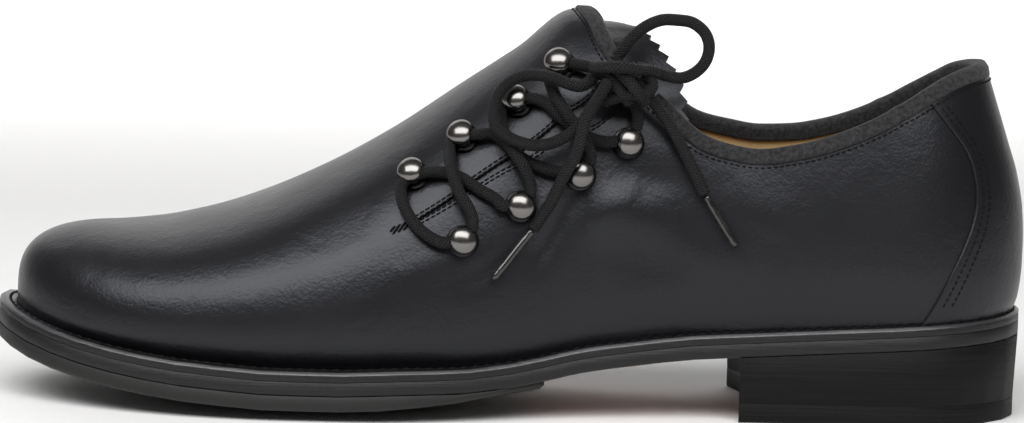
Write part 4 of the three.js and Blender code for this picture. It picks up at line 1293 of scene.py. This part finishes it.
# Places along the collar, each with the way out of the wall and the way down it, square to the edge
def collarFrames(shareGap):
    shares = [s for s in allShares if s <= last["collarEnd"] + 1e-9]
    places = [(s, 1) for s in shares if s >= flapCorner + shareGap]
    places += [(s, -1) for s in reversed(shares)]
    places += [(s, 1) for s in shares if 0 < s <= quarterCorner - shareGap]
    spots = [skin(s, side, collarLevel(s, side)) for s, side in places]
    frames = []
    for i, (share, side) in enumerate(places):
        spot = spots[i]
        run = (spots[min(i + 1, len(spots) - 1)] - spots[max(i - 1, 0)]).normalized()
        outward = normalAt(share, side, collarLevel(share, side))
        normal = (outward - run * outward.dot(run)).normalized()
        drop = normal.cross(run).normalized()
        if drop.dot(skin(share, side, collarLevel(share, side) - 0.05) - spot) < 0:
            drop.negate()
        frames.append((share, side, spot, normal, drop))
    return frames


# The place on the last nearest to a point close by
def slideTo(share, side, level, target):
    step = 0.002
    for _ in range(3):
        here = skin(share, side, level)
        ahead = (skin(share + step, side, level) - here) / step
        above = (skin(share, side, level + step) - here) / step
        gap = target - here
        shared = ahead.dot(above)
        scale = ahead.dot(ahead) * above.dot(above) - shared * shared
        share += (gap.dot(ahead) * above.dot(above) - gap.dot(above) * shared) / scale
        level += (gap.dot(above) * ahead.dot(ahead) - gap.dot(ahead) * shared) / scale
    return share, level


def collarRow(fall, lift):
    places = []
    for share, side, spot, normal, drop in collarFrames(0.0015):
        level = levelBelowCollar(share, side, fall)
        if share > 0.01:
            share, level = slideTo(share, side, level, spot + drop * fall)
        places.append((share, side, level, lift + overCounter(share)))
    return onPath(places, stitch["pitch"])


def counterRow(behind, side):
    places = []
    for k in range(*counter["rowSpan"]):
        up = k / counter["rowSteps"]
        front = skin(counterPlace(side, up)[0], side, 0.2)
        part = side * (1 - behind / (front - skin(0, side, 0.2)).length * 1.4)
        share, realSide, level = counterPlace(part, up)
        places.append((share, realSide, level, counter["thickness"] + counter["rowLift"]))
    return onPath(places, stitch["pitch"])


slitRows = []
for distance in (stitch["edge"], stitch["rawEdge"]):
    slitRows.append(slitRow(slitUpper, stitch["slitFront"], flapCorner + 0.004, 1, distance))
    slitRows.append(slitRow(slitLower, stitch["slitFront"], quarterCorner + 0.002, -1, distance))
stitchRows("slitStitches", slitRows, {"length": stitch["slitLength"], "width": stitch["width"]})
stitchRows(
    "upperStitches",
    [
        collarRow(stitch["collarFall"], stitch["lift"]),
        counterRow(counter["rowGap"], 1),
        counterRow(counter["rowGap"] * 2, 1),
        counterRow(counter["rowGap"], -1),
        counterRow(counter["rowGap"] * 2, -1),
    ],
    stitch,
)
# Welt stitches lie on the welt's top, all round
weltStitch = {
    "pitch": 0.0033,
    "length": 0.0027,
    "width": 0.0009,
    "place": 0.5,
    "bevel": 0.0009,
    "lift": 0.00012,
}


def extensionAt(share):
    front = mix(sole["waistExtension"], sole["ballExtension"], smoothStep((share - 0.45) / 0.2))
    toward = mix(front, sole["toeExtension"], smoothStep((share - 0.75) / 0.25))
    return mix(sole["heelExtension"], toward, smoothStep((share - 0.2) / 0.2))


def weltRow():
    shares = [s for s in allShares if s > 0]
    loop = [(s, 1) for s in shares] + [(s, -1) for s in reversed(shares)]
    spots = [skin(s, side, -1) for s, side in loop]
    row = []
    for i, (share, side) in enumerate(loop):
        run = spots[(i + 1) % len(spots)] - spots[i - 1]
        run.z = 0
        outward = Vector((run.y, -run.x, 0)).normalized() * -1
        flat = extensionAt(share) - weltStitch["bevel"]
        spot = spots[i] + outward * flat * weltStitch["place"]
        spot.z = weltTop(spot.x) + weltStitch["lift"]
        row.append(spot)
    row.append(row[0].copy())
    upward = Vector((0, 0, 1))
    found = []
    for i, t in placesAlong(row, weltStitch["pitch"]):
        found.append((row[i].lerp(row[i + 1], t), (row[i + 1] - row[i]).normalized(), upward))
    return found


stitchRows("weltStitches", [weltRow()], weltStitch)


# Bar tack at the slit's front end: a few threads close together
tack = {
    "first": 0.609,
    "final": 0.6245,
    "threads": 7,
    "level": 0.352,
    "slant": 0.006,
    "lift": 0.0003,
    "length": 0.0024,
    "width": 0.0007,
}


def barTack():
    row = []
    for k in range(tack["threads"]):
        share = mix(tack["first"], tack["final"], k / (tack["threads"] - 1))
        level = tack["level"] + tack["slant"] * (-1) ** k
        run = (skin(share + 0.004, 1, level) - skin(share - 0.002, 1, level + 0.02)).normalized()
        row.append((lifted(share, 1, level, tack["lift"]), run, normalAt(share, 1, level)))
    return row


stitchRows("slitTack", [barTack()], tack)
print("stitches ready")

# Binding: a folded strip of suede over the collar's edge. Out is away from the wall, down is along it.
binding = {"thickness": 0.0008, "outside": 0.0033, "inside": 0.0033, "gap": 0.0002}


def bindingProfile():
    out = binding["gap"] + binding["thickness"]
    far = -last["wall"] - out
    points = [(out - 0.0005, binding["outside"]), (out - 0.0001, binding["outside"] - 0.0003)]
    points += [(out, mix(binding["outside"] - 0.0008, 0.0006, i / 4)) for i in range(5)]
    middle = (out + far) / 2
    radius = (out - far) / 2
    for i in range(1, 12):
        turn = i / 12 * math.pi
        points.append((middle + radius * math.cos(turn), -0.0001 - 0.0014 * math.sin(turn) ** 0.8))
    points += [(far, mix(0.0006, binding["inside"] - 0.0005, i / 4)) for i in range(5)]
    points += [(far + 0.0004, binding["inside"]), (-last["wall"] - 0.0001, binding["inside"])]
    points += [(-last["wall"] - 0.0001, 0.0005), (-last["wall"] / 2, 0), (binding["gap"] / 2, 0.0005)]
    points += [(binding["gap"] / 2, binding["outside"])]
    return points


def bindingPiece():
    frames = collarFrames(0.0004)
    profile = bindingProfile()
    points = []
    for share, side, spot, normal, drop in frames:
        raised = overCounter(share)
        for out, down in profile:
            lift = raised if out > 0 and down > -0.0002 else 0
            points.append(toRow(spot + normal * (out + lift * 0.6) + drop * down))
    count = len(profile)
    faces = []
    for i in range(len(frames) - 1):
        for k in range(count):
            n = (k + 1) % count
            faces.append((i * count + k, i * count + n, (i + 1) * count + n, (i + 1) * count + k))
    faces.append(tuple(range(count)))
    faces.append(tuple(len(frames) * count - count + k for k in reversed(range(count))))
    obj = newPiece("collarBinding", points, faces)
    weld(obj, 0.000002, True)
    smooth(obj, 60)
    finishPiece(obj, bindingMaterial, ["collar_binding"])
    return obj


bindingPiece()
print("binding ready")

# Tongue: a sheet under the slit with a pinked top edge
tongue = {
    "gap": 0.0001,
    "thickness": 0.0014,
    "curl": -0.0012,
    "front": 0.645,
    "teeth": 20,
    "tooth": 0.002,
    "rows": 34,
}
tongueTop = [
    (-0.5, 0.38), (-0.3, 0.398), (-0.12, 0.404), (-0.04, 0.398), (0, 0.392), (0.1, 0.3796), (0.2, 0.3675),
    (0.27, 0.3574), (0.335, 0.3493), (0.4, 0.342), (0.46, 0.3355), (0.6, 0.333), (0.74, 0.34),
]
tongueEnd = along(tongueTop, 1)


def tonguePiece():
    columns = tongue["teeth"] * 6
    throat = -(last["wall"] + 0.001)
    slit = -(last["leather"] + tongue["gap"])
    grid = []
    for i in range(columns + 1):
        across = mix(tongueTop[-1][0], tongueTop[0][0], i / columns)
        side = -1 if across < 0 else 1
        wave = abs((i / 6) % 1 - 0.5) * 2
        tooth = (1 - wave) * tongue["tooth"] / last["length"]
        column = []
        for k in range(tongue["rows"] + 1):
            share = mix(tongueEnd(across) + tooth, tongue["front"], (k / tongue["rows"]) ** 1.3)
            back = (share - tongueEnd(across)) * last["length"]
            curl = tongue["curl"] * math.exp(-((back / 0.003) ** 2)) * smoothStep((0.14 - across) / 0.16)
            near = smoothStep((share - 0.372) / 0.03) * smoothStep((across - 0.15) / 0.2)
            column.append(lifted(share, side, 1 - abs(across), mix(throat, slit, near) + curl))
        grid.append(column)
    obj = gridPiece("tongueLeather", [grid])
    weld(obj)
    wall = obj.modifiers.new("wall", "SOLIDIFY")
    wall.thickness = tongue["thickness"]
    wall.offset = -1
    applyAll(obj)
    smooth(obj, 50)
    finishPiece(obj, leatherMaterial, ["tongue"])
    return obj


tonguePiece()
print("tongue ready")

# Lining: tan leather inside the quarters and vamp, and dark suede at the heel
lining = {"depth": 0.00105, "thickness": 0.0011, "heelEnd": 0.125, "overlap": 0.02, "front": 0.4}


def liningPiece(name, shares, material, depth):
    grids = []
    for side in (1, -1):
        grid = []
        for share in shares if side < 0 else reversed(shares):
            high = collarLevel(share, side)
            if side > 0 and quarterCorner < share < slitFront:
                high = slitLower(share) - 0.004
            top = high - 0.012 if share < last["collarEnd"] else high
            levels = [mix(-1, 0, i / 4) for i in range(4)] + [mix(0, top, i / 24) for i in range(25)]
            grid.append([lifted(share, side, v, -depth) for v in levels])
        grids.append(grid)
    obj = gridPiece(name, grids)
    weld(obj)
    wall = obj.modifiers.new("wall", "SOLIDIFY")
    wall.thickness = lining["thickness"]
    wall.offset = -1
    applyAll(obj)
    smooth(obj, 50)
    finishPiece(obj, material)
    return obj


quarterShares = [s for s in allShares if lining["heelEnd"] - lining["overlap"] < s < lining["front"]]
heelLiningShares = [s for s in allShares if s < lining["heelEnd"]]
liningPiece("quarterLining", quarterShares, liningMaterial, lining["depth"])
liningPiece("heelLining", heelLiningShares, heelLiningMaterial, lining["depth"] + 0.0002)
print("lining ready")


# Sole pieces: a merged copy of each CAD piece with its sharp edges eased.
# Grow is how far its top and its underside move out, to close the fine gap to the next layer.
def easedCopy(name, node, ease, segments, material, grow=(0, 0)):
    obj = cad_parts[node].copy()
    obj.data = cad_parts[node].data.copy()
    obj.name = name
    obj.data.name = name
    for key in list(obj.keys()):
        del obj[key]
    obj.parent = None
    bpy.context.scene.collection.objects.link(obj)
    weld(obj, 0.00002)
    shifts = []
    for vertex in obj.data.vertices:
        upward = grow[0] if vertex.normal.z > 0.35 else 0
        downward = grow[1] if vertex.normal.z < -0.35 else 0
        shifts.append(upward - downward)
    for vertex, shift in zip(obj.data.vertices, shifts):
        vertex.co.z += shift
    edges = obj.modifiers.new("edges", "BEVEL")
    edges.width = ease
    edges.segments = segments
    edges.limit_method = "ANGLE"
    edges.angle_limit = math.radians(35)
    applyAll(obj)
    smooth(obj, 40)
    finishPiece(obj, material, [node])
    return obj


weltStrip = easedCopy("weltStrip", "welt", 0.00025, 2, edgeMaterial, (0, 0.00028))
# The welt's upward-sloping bevel faces get the lighter, glossier black: a painted highlight
paintFacing(weltStrip, weltBevelHighlight, 0.3, 0.97)
outsoleLeather = easedCopy("outsoleLeather", "outsole", 0.00008, 1, edgeMaterial)
paintFacing(outsoleLeather, underMaterial, -1.01, -0.8)
easedCopy("halfSoleRubber", "half_sole", 0.0001, 1, rubberMaterial, (0.00028, 0))
easedCopy("heelBlock", "heel_block", 0.00008, 1, heelMaterial, (0.00028, 0.00014))
easedCopy("heelTopPiece", "heel_top_piece", 0.0004, 2, heelMaterial, (0.00014, 0))
easedCopy("insoleCover", "insole", 0.0008, 2, liningMaterial)
print("sole ready")

# Studs: base disc, waist and dome, turned once and copied, each cut through for the lace
stud = {
    "height": 0.0062,
    "dome": 0.0082,
    "base": 0.0093,
    "foot": 0.0002,
    "way": 0.0037,
    "reach": 0.0054,
    "clear": 0.0072,
    "disc": 0.2,
    "ease": 0.00015,
}
studPlaces = [
    ("studUpper1", "stud_upper_1", 0.604, 0.529),
    ("studUpper2", "stud_upper_2", 0.556, 0.576),
    ("studUpper3", "stud_upper_3", 0.503, 0.594),
    ("studUpper4", "stud_upper_4", 0.462, 0.62),
    ("studLower1", "stud_lower_1", 0.556, 0.234),
    ("studLower2", "stud_lower_2", 0.5, 0.268),
    ("studLower3", "stud_lower_3", 0.442, 0.282),
    ("studLower4", "stud_lower_4", 0.395, 0.355),
]


def studBody():
    h, d, b = stud["height"], stud["dome"], stud["base"]
    profile = [(0, 0), (b / 2 - 0.0002, 0), (b / 2, 0.0002), (b / 2, 0.0005), (b / 2 - 0.0003, h * 0.145)]
    profile += [(d * 0.4, h * 0.16), (d * 0.36, h * 0.2), (d * 0.38, h * 0.27)]
    centre = h * 0.55
    for i in range(15):
        turn = mix(-0.62, 1, i / 14) * quarterTurn
        rise = (h - centre) if turn > 0 else centre - h * 0.2
        profile.append((d / 2 * math.cos(turn), centre + rise * math.sin(turn)))
    profile[-1] = (0, h)
    obj = newPiece("studBody", [(r, 0, z) for r, z in profile], [])
    mesh = bmesh.new()
    mesh.from_mesh(obj.data)
    mesh.verts.ensure_lookup_table()
    for i in range(len(profile) - 1):
        mesh.edges.new((mesh.verts[i], mesh.verts[i + 1]))
    mesh.to_mesh(obj.data)
    mesh.free()
    selectOnly(obj)
    bpy.ops.object.mode_set(mode="EDIT")
    bpy.ops.mesh.select_all(action="SELECT")
    bpy.ops.mesh.spin(steps=40, angle=2 * math.pi, center=(0, 0, 0), axis=(0, 0, 1), dupli=False)
    bpy.ops.object.mode_set(mode="OBJECT")
    weld(obj, 0.000005, True)
    return obj


# The stretch of each lace half that passes a stud, as a tube to cut with
def wayTubes(centre):
    tubes = []
    for path in halfPaths:
        gaps = [(p - centre).length for p in path]
        first = final = gaps.index(min(gaps))
        if gaps[first] > stud["reach"]:
            continue
        while first > 0 and gaps[first - 1] < stud["clear"]:
            first -= 1
        while final < len(path) - 1 and gaps[final + 1] < stud["clear"]:
            final += 1
        stretch = path[first:final + 1]
        tubes.append(tubePiece("laceWay", stretch, lambda t: stud["way"] / 2, 20, lace["braidPitch"]))
    return tubes


master = studBody()
for name, node, share, level in studPlaces:
    piece = master.copy()
    piece.data = master.data.copy()
    piece.name = name
    bpy.context.scene.collection.objects.link(piece)
    axis = normalAt(share, 1, level)
    turned = Vector((0, 0, 1)).rotation_difference(axis).to_matrix().to_4x4()
    turned.translation = toRow(skin(share, 1, level) + axis * stud["foot"])
    piece.data.transform(turned)
    for tube in wayTubes(turned.translation + axis * 0.003):
        cut = piece.modifiers.new("way", "BOOLEAN")
        cut.operation = "DIFFERENCE"
        cut.solver = "EXACT"
        cut.object = tube
        applyAll(piece)
        bpy.data.objects.remove(tube)
    soft = piece.modifiers.new("soft", "BEVEL")
    soft.width = stud["ease"]
    soft.segments = 2
    soft.limit_method = "ANGLE"
    soft.angle_limit = math.radians(45)
    applyAll(piece)
    smooth(piece, 40)
    finishPiece(piece, nickelMaterial, [node])
    # The base disc and the foot of the waist under the dome get the near-black nickel: painted shade where the
    # dome shades them
    piece.data.materials.append(studShadeMaterial)
    for polygon in piece.data.polygons:
        height = (polygon.center - turned.translation).dot(axis)
        polygon.material_index = 1 if height < stud["height"] * stud["disc"] else 0
bpy.data.objects.remove(master)
print("studs ready")


# Floor, backdrop and lights
backdrop = {"width": 6, "front": 2.5, "bend": 1.4, "radius": 0.8, "top": 3, "worldStrength": 0.12}


def studio():
    bpy.ops.object.select_all(action="DESELECT")
    half, bend, radius = backdrop["width"] / 2, backdrop["bend"], backdrop["radius"]
    line = [(backdrop["front"], 0), (-bend, 0)]
    for i in range(1, 13):
        turn = i / 12 * quarterTurn
        line.append((-bend - radius * math.sin(turn), radius - radius * math.cos(turn)))
    line.append((-bend - radius, backdrop["top"]))
    points = []
    for y, z in line:
        points += [(-half, y, z), (half, y, z)]
    faces = [(2 * i, 2 * i + 2, 2 * i + 3, 2 * i + 1) for i in range(len(line) - 1)]
    floor = newPiece("paleFloor", points, faces)
    smooth(floor, 60)
    material, nodes, links, shader = newMaterial("paleFloor", (0.92, 0.915, 0.91), 0.75)
    floor.data.materials.append(material)
    world = bpy.data.worlds.new("studio")
    bpy.context.scene.world = world
    world.use_nodes = True
    background = world.node_tree.nodes["Background"]
    background.inputs["Color"].default_value = (1, 0.99, 0.98, 1)
    background.inputs["Strength"].default_value = backdrop["worldStrength"]


def softbox(name, place, aim, size, power):
    data = bpy.data.lights.new(name, "AREA")
    data.shape = "RECTANGLE"
    data.size = size[0]
    data.size_y = size[1]
    data.energy = power
    lamp = bpy.data.objects.new(name, data)
    bpy.context.scene.collection.objects.link(lamp)
    lamp.location = place
    lamp.rotation_mode = "QUATERNION"
    lamp.rotation_quaternion = (Vector(aim) - Vector(place)).to_track_quat("-Z", "Y")


studio()
softbox("frontLight", (0.2, 0.85, 1.15), (0, 0, 0.03), (2.2, 0.9), 30)
softbox("backLight", (0, -2.1, 1.3), (0, -1, 0), (3.4, 2), 19)
softbox("floorLight", (0, -0.9, 0.7), (0, -1.9, 0), (3, 0.5), 14)
bpy.context.scene.view_settings.view_transform = "Standard"
print("studio ready")
